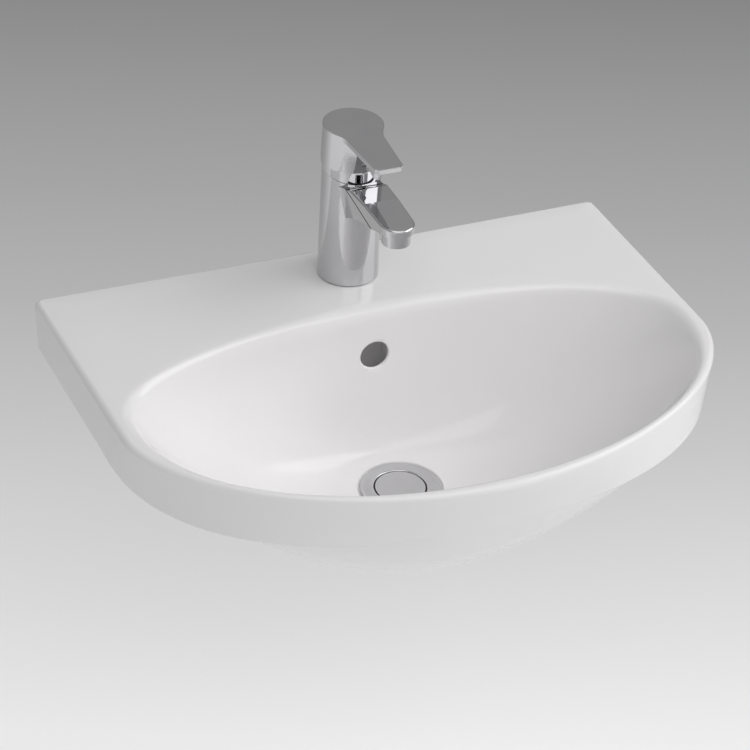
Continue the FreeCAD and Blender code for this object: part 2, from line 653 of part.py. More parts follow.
def flared_wire(near, far, nose, flare, height):
    """Plan view at a height of an arm with two flanks, which run back from far to near and swing
    out there along arcs into the body round the axis. The nose is the apex of a round end, or
    the corner next to far."""
    run = math.hypot(near[0] - far[0], near[1] - far[1])
    middle = (near[0] + flare * (near[1] - far[1]) / run, near[1] + flare * (far[0] - near[0]) / run)
    share = 1 - flare / math.hypot(*middle)
    start = (middle[0] * share, middle[1] * share)
    lean_x = (start[0] + near[0]) / 2 - middle[0]
    lean_y = (start[1] + near[1]) / 2 - middle[1]
    part = flare / math.hypot(lean_x, lean_y)
    bow = (middle[0] + lean_x * part, middle[1] + lean_y * part)

    def at(point, hand=1):
        return Vector(hand * point[0], point[1], height)

    inside = (start[0] / 2, -4)
    edges = [Part.LineSegment(at(inside, -1), at(inside)), Part.LineSegment(at(inside), at(start)),
             Part.Arc(at(start), at(bow), at(near)), Part.LineSegment(at(near), at(far))]
    if nose[0] == 0:
        edges.append(Part.Arc(at(far), at(nose), at(far, -1)))
    else:
        edges += [Part.LineSegment(at(far), at(nose)), Part.LineSegment(at(nose), at(nose, -1)),
                  Part.LineSegment(at(nose, -1), at(far, -1))]
    edges += [Part.LineSegment(at(far, -1), at(near, -1)),
              Part.Arc(at(near, -1), at(bow, -1), at(start, -1)),
              Part.LineSegment(at(start, -1), at(inside, -1))]
    return Part.Wire([edge.toShape() for edge in edges])


def spout_shape():
    """Solid spout: its side view and its plan view, one cut out of the other. It is wider at the
    top than at the underside."""
    reach = size.spout_reach
    tip = -reach - size.spout_tip_half
    under = size.spout_tip_under
    side = extruded([
        (-14, size.spout_root_under + 1), (-20, size.spout_root_under + 5.6),
        (-38, 71.8), (-48.5, 75.1), (-60.6, 78.1), (-72.8, under - 4.8),
        (-reach + 4, under - 1.1), (-reach - 2, under), (tip - 1, under),
        (tip - 1, size.spout_tip_crown - 0.8), (-reach, size.spout_tip_crown),
        (-58, size.spout_crown), (-36, size.spout_crown), (-27.4, size.spout_crown - 3.2),
        (-14, size.spout_crown - 6)], 60)
    end = size.spout_tip_half
    low_end = size.spout_low_tip_half
    plan = Part.makeLoft([
        flared_wire((size.spout_low_root_half, -22.5), (low_end, -reach), (0, -reach - low_end),
                    size.spout_low_flare, size.spout_root_under),
        flared_wire((size.spout_root_half, -26), (end, -reach), (0, -reach - end),
                    size.spout_flare, size.spout_crown + 2)], True, True)
    return side.common(plan)


def tap_body_shape():
    """Body, spout, cartridge chamber, water ways, inlets and the pocket in the foot."""
    foot = size.foot_gap
    shape = lathe([
        (0, foot), (size.tap_foot_radius - size.foot_round, foot),
        (size.tap_foot_radius, foot + size.foot_round),
        (size.tap_neck_radius, size.tap_neck_height), (0, size.tap_neck_height)])
    spout = spout_shape()
    edges = [e for e in spout.Edges
             if e.BoundBox.YMax < -30 and e.BoundBox.ZMin > size.spout_crown - 4]
    spout = spout.makeFillet(size.spout_edge, edges)
    shape = shape.fuse(spout)
    above = block((-80, 80), (-160, 80), (size.joint_rise, size.joint_rise + 120))
    front_limit = block((-80, 80), (-200, -27), (0, 200))
    shape = shape.cut(tilted(above).cut(front_limit))

    seat = -size.seat_depth
    bore = size.cartridge_radius + size.fit_gap * 2
    shape = shape.cut(tilted(lathe([
        (0, seat), (bore, seat), (bore, size.shoulder_rise - size.fit_gap),
        (size.nut_radius + size.fit_gap, size.shoulder_rise - size.fit_gap),
        (size.nut_radius + size.fit_gap, size.dome_foot - 0.2),
        (size.dome_radius + size.fit_gap, size.dome_foot - 0.2),
        (size.dome_radius + size.fit_gap, size.joint_rise + 8), (0, size.joint_rise + 8)])))

    # pocket with the seat of the base gasket
    shape = shape.cut(rod(size.pocket_radius, (0, 0, -1), (0, 0, size.pocket_height)))
    shape = shape.cut(lathe([(18, 0), (22, 0), (22, 2.1), (18, 2.1)]))

    # inlets, their ways up to the cartridge, and the thread of the stud
    thread_top = size.pocket_height + size.inlet_length
    for hand in (-1, 1):
        x = hand * size.inlet_spread
        y = -size.inlet_forward
        shape = shape.cut(rod(size.inlet_radius, (x, y, 0), (x, y, thread_top)))
        upper = tilted_point(hand * size.water_port_side, -size.water_port_front, seat + 1)
        shape = shape.cut(rod(size.water_port, (x, y, thread_top - 2), tuple(upper)))
    shape = shape.cut(rod(size.stud_radius + size.fit_gap / 2, (0, size.stud_back, 0),
                          (0, size.stud_back, thread_top)))

    # way out to the spout: down from the seat, forward, up in front of the chamber, along the spout
    way = size.port_radius
    drop = seat - 6
    riser = -bore - 5.8
    outlet = size.outlet_port_back
    shape = shape.cut(tilted(rod(size.water_port, (0, outlet, seat + 1), (0, outlet, drop))))
    shape = shape.cut(tilted(rod(way, (0, outlet, drop), (0, riser, drop))))
    shape = shape.cut(tilted(Part.makeSphere(way, Vector(0, riser, drop))))
    shape = shape.cut(tilted(rod(way, (0, riser, drop), (0, riser, -4))))
    bend = tilted_point(0, riser, -4)
    shape = shape.cut(Part.makeSphere(way, bend))
    chamber = size.spout_tip_under + size.aerator_engage + 1.4
    shape = shape.cut(rod(way - 0.4, tuple(bend), (0, -size.spout_reach + 6, chamber + 0.8)))

    # round seat of the aerator in the sloping underside, its thread and the chamber above it
    reach = size.spout_reach
    under = size.spout_tip_under
    shape = shape.cut(rod(size.aerator_radius + size.free_gap, (0, -reach, under - 9),
                          (0, -reach, under)))
    shape = shape.cut(rod(size.aerator_neck + size.fit_gap, (0, -reach, under - 1),
                          (0, -reach, chamber)))
    return shape.cut(rod(8.5, (0, -reach, chamber - 1), (0, -reach, chamber + 1)))


plain("tap_body", tap_body_shape(), tap_at)
ring("base_gasket", "18.1", "21.9", "0.05", "base_gasket_height", TAP_PLACE)
ring("fixing_stud", "0", "stud_radius", "-stud_drop", "pocket_height + inlet_length - 1",
     STUD_PLACE)


def horseshoe(low, high):
    """Clamping plate with an open slot for the two supply pipes and a hole for the stud."""
    shape = rod(size.clamp_radius, (0, 0, low), (0, 0, high))
    slot = size.clamp_slot
    shape = shape.cut(block((-slot, slot), (-60, 2), (low - 1, high + 1)))
    shape = shape.cut(rod(4, (-slot + 4, 2, low - 1), (-slot + 4, 2, high + 1)))
    shape = shape.cut(rod(4, (slot - 4, 2, low - 1), (slot - 4, 2, high + 1)))
    return shape.cut(rod(size.stud_radius + size.free_gap, (0, size.stud_back, low - 1),
                         (0, size.stud_back, high + 1)))


under = -size.deck_thickness - size.fit_gap
gasket_low = under - size.fixing_gasket_height
washer_top = gasket_low - size.fit_gap
washer_low = washer_top - size.fixing_washer_height
plain("fixing_gasket", horseshoe(gasket_low, under), tap_at)
plain("fixing_washer", horseshoe(washer_low, washer_top), tap_at)
nut_high = washer_low - size.fit_gap
fixing_nut = hexagon(size.fixing_nut_flats, nut_high - size.fixing_nut_height, nut_high)
fixing_nut = fixing_nut.cut(rod(size.stud_radius + size.fit_gap / 2, (0, 0, nut_high + 1),
                                (0, 0, nut_high - size.fixing_nut_height - 1)))
plain("fixing_nut", fixing_nut,
      Placement(Vector(0, -size.tap_from_back + size.stud_back, size.rim_height), Rotation()))


# ---------------------------------------------------------------- aerator

turned("aerator_housing", [
    ("aerator_bore - 1", "-aerator_drop"), ("aerator_radius - 0.6", "-aerator_drop"),
    ("aerator_radius", "-aerator_drop + 0.6"), ("aerator_radius", "-fit_gap"),
    ("aerator_neck", "-fit_gap"), ("aerator_neck", "aerator_engage"),
    ("aerator_bore", "aerator_engage"), ("aerator_bore", "-aerator_drop + 1.5"),
    ("aerator_bore - 1", "-aerator_drop + 1.5")],
    AERATOR_PLACE)
ring("aerator_seal", "8", "aerator_neck - 0.1", "aerator_engage + 0.05",
     "aerator_engage + 1.35", AERATOR_PLACE)


def aerator_insert_shape():
    """Cup with a grid of holes in its floor and air slots in its wall."""
    low = -size.aerator_drop + 1.6
    high = size.aerator_engage - 1
    radius = size.aerator_bore - size.fit_gap
    shape = lathe([(0, low), (radius, low), (radius, high), (radius - 1.4, high),
                   (radius - 1.4, low + 1.6), (0, low + 1.6)])
    for count, distance in ((6, 2.9), (12, 5.8)):
        for i in range(count):
            angle = 2 * math.pi * i / count
            x = distance * math.cos(angle)
            y = distance * math.sin(angle)
            shape = shape.cut(rod(0.9, (x, y, low - 1), (x, y, low + 3)))
    return shape.cut(rod(0.9, (0, 0, low - 1), (0, 0, low + 3)))


plain("aerator_insert", aerator_insert_shape(),
      Placement(Vector(0, -size.tap_from_back - size.spout_reach,
                       size.rim_height + size.spout_tip_under), Rotation()))


# ---------------------------------------------------------------- cartridge

def water_ports():
    """Centres of the two inlet ports and of the outlet port."""
    return [(-size.water_port_side, -size.water_port_front),
            (size.water_port_side, -size.water_port_front),
            (0, size.outlet_port_back)]


base_low = -size.seat_depth + 0.2
base_top = base_low + size.base_height
fixed_low = base_top + 0.3
fixed_top = fixed_low + size.fixed_disc_height
moving_low = fixed_top + size.free_gap
moving_top = moving_low + size.moving_disc_height
carrier_low = moving_top + size.free_gap
ball_y = size.ball_drop * math.sin(math.radians(size.ball_back))
ball_z = size.pivot_rise - size.ball_drop * math.cos(math.radians(size.ball_back))


def cartridge_base_shape():
    """Base with its spigot, the ports and the grooves of the seals."""
    shape = lathe([
        (0, base_low), (size.cartridge_radius - 0.1, base_low),
        (size.cartridge_radius - 0.1, base_low + size.base_flange),
        (size.disc_bore - 0.1, base_low + size.base_flange), (size.disc_bore - 0.1, base_top),
        (0, base_top)])
    for x, y in water_ports():
        shape = shape.cut(rod(size.water_port, (x, y, base_low - 1), (x, y, base_top + 1)))
        shape = shape.cut(rod(size.water_port + 1.1, (x, y, base_low - 1), (x, y, base_low + 1)))
    return shape


def base_seals_shape():
    """Three rubber rings in the grooves of the base."""
    rings = []
    for x, y in water_ports():
        outer = rod(size.water_port + 1, (x, y, -size.seat_depth + 0.05), (x, y, base_low + 0.9))
        inner = rod(size.water_port + 0.1, (x, y, -size.seat_depth - 1), (x, y, base_low + 2))
        rings.append(outer.cut(inner))
    return Part.makeCompound(rings)


def fixed_disc_shape():
    """Ceramic disc with the three ports."""
    shape = rod(size.fixed_disc_radius, (0, 0, fixed_low), (0, 0, fixed_top))
    for x, y in water_ports():
        shape = shape.cut(rod(size.water_port, (x, y, fixed_low - 1), (x, y, fixed_top + 1)))
    return shape


def flatted(low, high):
    """Disc with two flats about the ball's place when the tap is shut."""
    shape = rod(size.moving_disc_radius, (0, ball_y, low), (0, ball_y, high))
    flat = size.moving_disc_flat
    return shape.common(block((-flat, flat), (-30, 30), (low - 1, high + 1)))


def moving_disc_shape():
    """Ceramic disc with its mixing chamber below and two peg holes above."""
    shape = flatted(moving_low, moving_top)
    roof = moving_low + size.moving_disc_height / 2
    shape = shape.cut(block((-5.6, 5.6), (ball_y - 0.2, ball_y + 1.6), (moving_low - 1, roof)))
    shape = shape.cut(block((-2.2, 2.2), (ball_y - 3, ball_y + 5), (moving_low - 1, roof)))
    for hand in (-1, 1):
        y = ball_y + hand * 5.4
        shape = shape.cut(rod(1, (0, y, moving_top - 1.1), (0, y, moving_top + 1)))
    return shape


def disc_carrier_shape():
    """Plate over the moving disc, with its pegs and the socket of the ball."""
    plate_top = carrier_low + size.carrier_plate
    shape = flatted(carrier_low, plate_top)
    for hand in (-1, 1):
        y = ball_y + hand * 5.4
        shape = shape.fuse(rod(0.9, (0, y, moving_top - 1), (0, y, plate_top - 1)))
    socket = size.ball_radius + 0.35
    top = carrier_low + size.carrier_height
    shape = shape.fuse(rod(socket + size.socket_wall, (0, ball_y, plate_top - 1), (0, ball_y, top)))
    return shape.cut(rod(socket, (0, ball_y, ball_z - socket - 0.35), (0, ball_y, top + 1)))


def cartridge_housing_shape():
    """Stepped housing, open below for the discs and above for the sleeve."""
    low = base_low + size.base_flange + size.free_gap
    return lathe([
        (size.disc_bore, low), (size.cartridge_radius, low),
        (size.cartridge_radius, size.shoulder_rise), (size.neck_radius, size.shoulder_rise),
        (size.neck_radius, size.neck_rise), (size.neck_bore, size.neck_rise),
        (size.neck_bore, -size.bore_step), (size.disc_bore, -size.bore_step)])


def turning_sleeve_shape():
    """Sleeve with a slot for the spindle, the hole of the pin and two guides for the carrier."""
    guide = size.moving_disc_flat + size.free_gap
    shape = rod(size.sleeve_radius, (0, 0, -size.sleeve_foot), (0, 0, size.sleeve_rise))
    legs = rod(size.disc_bore - size.free_gap, (0, 0, carrier_low + 0.2), (0, 0, -size.sleeve_foot))
    legs = legs.fuse(rod(size.sleeve_radius, (0, 0, -size.sleeve_foot - 2), (0, 0, 0)))
    legs = legs.cut(block((-guide, guide), (-20, 20), (carrier_low - 1, -size.sleeve_foot)))
    shape = shape.fuse(legs)
    slot = size.spindle_side / 2 + size.free_gap
    hub_low = size.pivot_rise - size.spindle_side / 2 - 2
    shape = shape.cut(block((-slot, slot), (-7.4, 7.4), (hub_low, size.sleeve_rise + 1)))
    arm = size.arm_radius + 0.6
    shape = shape.cut(block((-arm, arm), (-5.4, 5.4), (-size.sleeve_foot - 1, hub_low + 1)))
    pin = size.pivot_rise
    return shape.cut(rod(size.pivot_radius + 0.02, (-20, 0, pin), (20, 0, pin)))


def spindle_shape():
    """Square spindle with the hub of the pin, the arm and the ball."""
    half = size.spindle_side / 2
    pin = size.pivot_rise
    shape = block((-half, half), (-half, half), (pin, size.spindle_rise))
    shape = shape.fuse(rod(half, (-half, 0, pin), (half, 0, pin)))
    shape = shape.fuse(rod(size.arm_radius, (0, 0, pin), (0, ball_y, ball_z)))
    shape = shape.fuse(Part.makeSphere(size.ball_radius, Vector(0, ball_y, ball_z)))
    bore = size.pivot_radius + size.pin_gap
    return shape.cut(rod(bore, (-20, 0, pin), (20, 0, pin)))


def cartridge_nut_shape():
    """Threaded ring with four slots for the spanner."""
    low = size.shoulder_rise + size.fit_gap
    high = low + size.nut_height
    shape = lathe([(size.nut_bore, low), (size.nut_radius, low), (size.nut_radius, high),
                   (size.nut_bore, high)])
    for reach_x, reach_y in ((20, 1.5), (1.5, 20)):
        shape = shape.cut(block((-reach_x, reach_x), (-reach_y, reach_y), (high - 2, high + 1)))
    return shape


def cover_ring_shape():
    """Part of a hollow sphere about the pivot, from the tap body up to its opening."""
    centre = Vector(0, 0, size.pivot_rise)
    shape = Part.makeSphere(size.dome_radius, centre)
    shape = shape.cut(Part.makeSphere(size.dome_radius - size.dome_wall, centre))
    shape = shape.cut(block((-40, 40), (-40, 40), (-40, size.dome_foot)))
    return shape.cut(rod(size.dome_mouth, (0, 0, 0), (0, 0, 60)))


plain("cartridge_base", cartridge_base_shape(), cartridge_at)
plain("base_seals", base_seals_shape(), cartridge_at)
plain("fixed_disc", fixed_disc_shape(), cartridge_at)
plain("moving_disc", moving_disc_shape(), cartridge_at)
plain("disc_carrier", disc_carrier_shape(), cartridge_at)
plain("cartridge_housing", cartridge_housing_shape(), cartridge_at)
plain("turning_sleeve", turning_sleeve_shape(), cartridge_at)
plain("pivot_pin", rod(size.pivot_radius, (-size.pivot_half, 0, size.pivot_rise),
                       (size.pivot_half, 0, size.pivot_rise)), cartridge_at)
plain("cartridge_spindle", spindle_shape(), cartridge_at)
plain("cartridge_nut", cartridge_nut_shape(), cartridge_at)
plain("cover_ring", cover_ring_shape(), cartridge_at)


# ---------------------------------------------------------------- lever

def lever_shape():
    """Cap with its flat blade, hollow below, with a boss round the spindle."""
    crown = size.lever_crown
    slope = math.tan(math.radians(size.lever_slope))
    cap = lathe([
        (0, 80), (size.lever_foot_radius, 80), (size.lever_belly_radius, size.lever_belly_height),
        (size.lever_crown_radius, crown + 4), (0, crown + 4)])
    reach = size.blade_reach
    side = extruded([
        (0, crown + 4), (0, crown - 6), (-20, crown - 1 - size.blade_root_thickness),
        (-reach + 8, crown - reach * slope - size.blade_tip_thickness - 0.4),
        (-reach, crown - reach * slope - size.blade_tip_thickness), (-reach, crown + 4)],
        60)
    end = size.blade_tip_half
    plan = Part.Face(flared_wire((size.blade_root_half, -26), (end, -reach + 3),
                                 (end - 3, -reach), size.blade_flare, 100))
    plan = plan.extrude(Vector(0, 0, 60))
    shape = cap.fuse(side.common(plan))
    top = extruded([(60, crown + 60 * slope), (-100, crown - 100 * slope), (-100, 170), (60, 170)],
                   120)
    shape = shape.cut(top)
    rim = [e for e in shape.Edges
           if e.BoundBox.ZMin > crown - reach * slope - 1
           and all(abs(v.Z - crown - v.Y * slope) < 0.01 for v in e.Vertexes)]
    shape = shape.makeFillet(size.lever_edge, rim)

    # hollow, with the boss and the rib left standing
    spared = tilted(rod(size.lever_boss_radius, (0, 0, 0), (0, 0, 60)))
    rib = size.lever_rib_half
    spared = spared.fuse(tilted(block((-rib, rib), (-40, 0), (0, 60))))
    keep_out = Placement(tilted_point(0, 0, size.pivot_rise), Rotation())
    sphere = Part.makeSphere(size.dome_radius + 0.6)
    sphere.Placement = keep_out
    spared = spared.cut(sphere)
    spared = spared.cut(tilted(block((-60, 60), (-60, 60), (-60, size.pivot_rise + 3))))
    space = rod(size.lever_bore, (0, 0, 60), (0, 0, size.lever_ceiling))
    shape = shape.cut(space.cut(spared))

    # joint face, relieved behind the pivot so that the lever can tip back
    low = size.joint_rise + size.lever_gap
    rise = 70 * math.tan(math.radians(size.lever_lift + 0.7))
    below = extruded([(-80, low), (0, low), (70, low + rise), (70, -60), (-80, -60)], 120)
    shape = shape.cut(tilted(below))

    # square hole of the spindle and the hole of the grub screw
    half = size.spindle_side / 2 + size.fit_gap / 2
    shape = shape.cut(tilted(block((-half, half), (-half, half),
                                   (0, size.spindle_rise + size.fit_gap))))
    screw = size.screw_rise
    hole = rod(size.screw_radius + size.fit_gap / 2, (0, 0, screw), (0, -40, screw))
    return shape.cut(tilted(hole))


plain("lever_handle", lever_shape(), tap_at)
ring("grub_screw", "0", "screw_radius", "spindle_side / 2 + fit_gap",
     "spindle_side / 2 + fit_gap + screw_length", SCREW_PLACE)
ring("indicator_plug", "0", "indicator_radius", "14", "16.6", SCREW_PLACE)


# ---------------------------------------------------------------- check and export

NODES = [
    "basin", "waste_body", "flange_gasket", "lower_gasket", "slip_washer", "waste_backnut",
    "waste_plug", "plug_seal", "click_stem", "click_housing", "click_spring",
    "tap_body", "base_gasket", "fixing_stud", "fixing_gasket", "fixing_washer", "fixing_nut",
    "aerator_housing", "aerator_insert", "aerator_seal",
    "cartridge_housing", "cartridge_base", "base_seals", "fixed_disc", "moving_disc",
    "disc_carrier", "turning_sleeve", "pivot_pin", "cartridge_spindle", "cartridge_nut",
    "cover_ring", "lever_handle", "grub_screw", "indicator_plug"]

doc.recompute()
for item in doc.Objects:
    if "Invalid" in item.State or "Error" in item.State:
        raise RuntimeError("%s: %s" % (item.Label, item.State))
for node in NODES:
    piece = doc.getObjectsByLabel(node)[0]
    if piece.Shape.isNull() or not piece.Shape.isValid():
        raise RuntimeError("%s: bad shape" % node)
    piece.Shape.exportStep("parts/%s.step" % node)
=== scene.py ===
import math

import bmesh
import bpy
import numpy as np
from mathutils import Matrix, Vector


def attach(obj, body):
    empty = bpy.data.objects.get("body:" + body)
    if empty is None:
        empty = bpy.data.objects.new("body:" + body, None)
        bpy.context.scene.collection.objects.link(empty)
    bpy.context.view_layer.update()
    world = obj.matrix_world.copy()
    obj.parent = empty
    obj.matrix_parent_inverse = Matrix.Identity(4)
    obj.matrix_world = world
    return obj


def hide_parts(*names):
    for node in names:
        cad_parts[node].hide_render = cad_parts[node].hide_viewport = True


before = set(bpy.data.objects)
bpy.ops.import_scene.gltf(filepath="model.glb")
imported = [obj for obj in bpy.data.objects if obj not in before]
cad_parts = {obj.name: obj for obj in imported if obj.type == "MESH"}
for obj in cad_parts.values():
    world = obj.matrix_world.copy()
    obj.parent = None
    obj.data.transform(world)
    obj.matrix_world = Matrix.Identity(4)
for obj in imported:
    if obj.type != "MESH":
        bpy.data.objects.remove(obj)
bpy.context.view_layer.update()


# ------------------------------------------------------------------ studio
# A grey paper floor whose grey is painted darker towards the back, a painted shade where the
# lamps' light falls off; two large soft lamps, low on the right and high in front, and an even
# world light. The camera looks down from the front and a little from the left. Polished metal
# sees the same grey round the object as the camera does.

CAMERA_TURN = math.radians(-25.0286)
CAMERA_RISE = math.radians(33.7934)
CAMERA_ROLL = math.radians(2.9064)
CAMERA_PLACE = Vector((-0.549542, -1.282380, 0.8506425))
CAMERA_LENS = 92.943
LAMP_SIZE = 2.2
LAMP_TARGET = Vector((0, -0.17, 0))
LAMPS = (("key", (1.85, -0.96, 1.30), 29), ("front", (-0.24, -1.49, 1.99), 16))
FLOOR_LEVEL = -0.30
FLOOR_HALF = 30
WORLD_LIGHT = 0.36
SKY_LOW, SKY_HIGH = 0.22, 0.47          # greys of the world that the camera and mirrors see
# painted shade of the paper from near to far: share of the way back, and the grey there
PAPER_NEAR, PAPER_FAR = -0.25, 1.55
PAPER_SHADE_TONES = ((0.01, 0.905), (0.1, 0.787), (0.263, 0.604), (0.392, 0.492), (0.535, 0.413),
               (0.778, 0.314), (1.0, 0.24))
PAPER_GLOW = 0.75                       # share of the paper's grey that no shadow darkens

backward = Vector((math.sin(CAMERA_TURN) * math.cos(CAMERA_RISE),
                   -math.cos(CAMERA_TURN) * math.cos(CAMERA_RISE), math.sin(CAMERA_RISE)))
sideways = Vector((math.cos(CAMERA_TURN), math.sin(CAMERA_TURN), 0))
upward = backward.cross(sideways)
right = math.cos(CAMERA_ROLL) * sideways + math.sin(CAMERA_ROLL) * upward
above = -math.sin(CAMERA_ROLL) * sideways + math.cos(CAMERA_ROLL) * upward
camera_data = bpy.data.cameras.new("camera")
camera_data.lens = CAMERA_LENS
camera_data.sensor_width = 36
camera = bpy.data.objects.new("camera", camera_data)
camera.matrix_world = (Matrix.Translation(CAMERA_PLACE)
                       @ Matrix((right, above, backward)).transposed().to_4x4())
bpy.context.collection.objects.link(camera)
bpy.context.scene.camera = camera
bpy.context.scene.view_settings.view_transform = "Standard"

for name, place, watts in LAMPS:
    lamp_data = bpy.data.lights.new(name, "AREA")
    lamp_data.size = LAMP_SIZE
    lamp_data.energy = watts
    lamp = bpy.data.objects.new(name, lamp_data)
    lamp.location = place
    lamp.rotation_euler = (LAMP_TARGET - Vector(place)).to_track_quat("-Z", "Y").to_euler()
    bpy.context.collection.objects.link(lamp)


def seen_ray(nodes, links):
    """1 for a ray from the camera, off polished metal or through glass, and 0 for other light."""
    path = nodes.new("ShaderNodeLightPath")
    total = path.outputs["Is Camera Ray"]
    for kind in ("Is Glossy Ray", "Is Transmission Ray"):
        most = nodes.new("ShaderNodeMath")
        most.operation = "MAXIMUM"
        links.new(total, most.inputs[0])
        links.new(path.outputs[kind], most.inputs[1])
        total = most.outputs["Value"]
    return total


world = bpy.data.worlds.new("studio")
bpy.context.scene.world = world
world.use_nodes = True
nodes, links = world.node_tree.nodes, world.node_tree.links
light = nodes["Background"]
light.inputs["Color"].default_value = (1, 1, 1, 1)
light.inputs["Strength"].default_value = WORLD_LIGHT
seen = nodes.new("ShaderNodeBackground")
direction = nodes.new("ShaderNodeTexCoord")
height = nodes.new("ShaderNodeSeparateXYZ")
sky = nodes.new("ShaderNodeValToRGB")
sky.color_ramp.elements[0].position = 0.05
sky.color_ramp.elements[0].color = (SKY_LOW, SKY_LOW, SKY_LOW, 1)
sky.color_ramp.elements[1].position = 0.95
sky.color_ramp.elements[1].color = (SKY_HIGH, SKY_HIGH, SKY_HIGH, 1)
links.new(direction.outputs["Generated"], height.inputs["Vector"])
links.new(height.outputs["Z"], sky.inputs["Fac"])
links.new(sky.outputs["Color"], seen.inputs["Color"])
choice = nodes.new("ShaderNodeMixShader")
links.new(seen_ray(nodes, links), choice.inputs["Fac"])
links.new(light.outputs["Background"], choice.inputs[1])
links.new(seen.outputs["Background"], choice.inputs[2])
links.new(choice.outputs["Shader"], nodes["World Output"].inputs["Surface"])

floor_mesh = bpy.data.meshes.new("floor")
floor_mesh.from_pydata([(x * FLOOR_HALF, y * FLOOR_HALF, FLOOR_LEVEL)
                        for x, y in ((-1, -1), (1, -1), (1, 1), (-1, 1))], [], [(0, 1, 2, 3)])
floor = bpy.data.objects.new("floor", floor_mesh)
bpy.context.collection.objects.link(floor)

paper = bpy.data.materials.new("studio_paper")
paper.use_nodes = True
nodes, links = paper.node_tree.nodes, paper.node_tree.links
shader = nodes["Principled BSDF"]
shader.inputs["Roughness"].default_value = 0.9
shader.inputs["Specular IOR Level"].default_value = 0.1
spot = nodes.new("ShaderNodeTexCoord")
turn = nodes.new("ShaderNodeMapping")
turn.inputs["Rotation"].default_value = (0, 0, -CAMERA_TURN)
split = nodes.new("ShaderNodeSeparateXYZ")
stretch = nodes.new("ShaderNodeMapRange")
stretch.inputs["From Min"].default_value = PAPER_NEAR
stretch.inputs["From Max"].default_value = PAPER_FAR
# the ramp paints the paper darker towards the back: painted shade, carried to both its colour and its
# glow
shade = nodes.new("ShaderNodeValToRGB")
for extra in PAPER_SHADE_TONES[2:]:
    shade.color_ramp.elements.new(0.5)
for stop, (share, tone) in zip(shade.color_ramp.elements, PAPER_SHADE_TONES):
    stop.position = share
    stop.color = (tone, tone, tone, 1)
lift = nodes.new("ShaderNodeVectorMath")
lift.operation = "SCALE"
lift.inputs["Scale"].default_value = 1.05
links.new(spot.outputs["Object"], turn.inputs["Vector"])
links.new(turn.outputs["Vector"], split.inputs["Vector"])
links.new(split.outputs["Y"], stretch.inputs["Value"])
links.new(stretch.outputs["Result"], shade.inputs["Fac"])
links.new(shade.outputs["Color"], lift.inputs[0])
links.new(lift.outputs["Vector"], shader.inputs["Base Color"])
glow = nodes.new("ShaderNodeEmission")
links.new(shade.outputs["Color"], glow.inputs["Color"])
part = nodes.new("ShaderNodeMath")
part.operation = "MULTIPLY"
part.inputs[1].default_value = PAPER_GLOW
links.new(seen_ray(nodes, links), part.inputs[0])
blend = nodes.new("ShaderNodeMixShader")
links.new(part.outputs["Value"], blend.inputs["Fac"])
links.new(shader.outputs["BSDF"], blend.inputs[1])
links.new(glow.outputs["Emission"], blend.inputs[2])
links.new(blend.outputs["Shader"], nodes["Material Output"].inputs["Surface"])
floor_mesh.materials.append(paper)


# ------------------------------------------------------------------ basin
# One piece of white glazed ceramic, slip cast in a plaster mould. A flat deck with a rolled edge
# runs into a soft lip and a deep round bowl; under the deck the casting is hollow, with a skirt.

MM = 0.001
RIM = 43.0                    # worktop to the rim
SLAB_HALF = 249.8             # half width of the slab at its back
SLAB_DRAFT = 0.8              # what the slab's sides lose from the rim to the worktop
CORNER = 4.0                  # radius of the back corners
CORNER_AT = (248.0, 2.0)      # about the middle of their arcs: sideways and from the back
BACK_PLAY = 0.02              # the back face stands this much inside the frame's
# front curve of the slab: half width, reach, power of the superellipse, and where it starts
FRONT_AT_RIM = 240.86, 148.0, 1.8, -200.0
FRONT_AT_FOOT = 241.98, 178.0, 2.3, -158.0
WASTE_BACK = 164.4            # back edge to the waste, the centre of every ring
WELL = 43.0                   # radius of the flat well round the waste
BOWL_DEPTH = 133.0
BULGE_DEPTH = 150.0
# how far the bowl and its outside run out from the well at the rim: side, front and rear
BOWL_SPREAD = 184.7, 129.3, 18.3
BULGE_SPREAD = 196.7, 140.6, 30.4
# power of the depth that turns their front and their rear wall down: the higher, the later
BOWL_FALL = 1.3, 5
BULGE_FALL = 1.474, 4
BOWL_SHIFT = 21.3             # the widest line moves this far to the front up to the rim
HOLLOW = 29.0                 # worktop to the underside of the deck
SKIRT = 11.0                  # thickness of the skirt
WELL_LEVEL = RIM - BOWL_DEPTH
WASTE_HOLE = 23.0
RECESS = 34.5                 # recess of the waste's flange
RECESS_LEVEL = WELL_LEVEL - 2.0
BOSS = 38.0                   # boss under the bowl, on which the backnut's washers bear
BOSS_FOOT = -124.0
EDGE_ROLL = 5.5               # radius of the slab's rolled edge
LIP_FRONT, LIP_REAR = 5.0, 13.0         # width of the soft lip from the bowl to the deck
FINE = 801                    # points on half a superellipse


def superellipse(half, reach, power, count):
    """x and y over half a turn of |x/half|^power + |y/reach|^power = 1, from +x over +y to -x."""
    angle = np.linspace(0, np.pi, count)
    x = half * np.sign(np.cos(angle)) * np.abs(np.cos(angle)) ** (2 / power)
    y = reach * np.abs(np.sin(angle)) ** (2 / power)
    return x, y


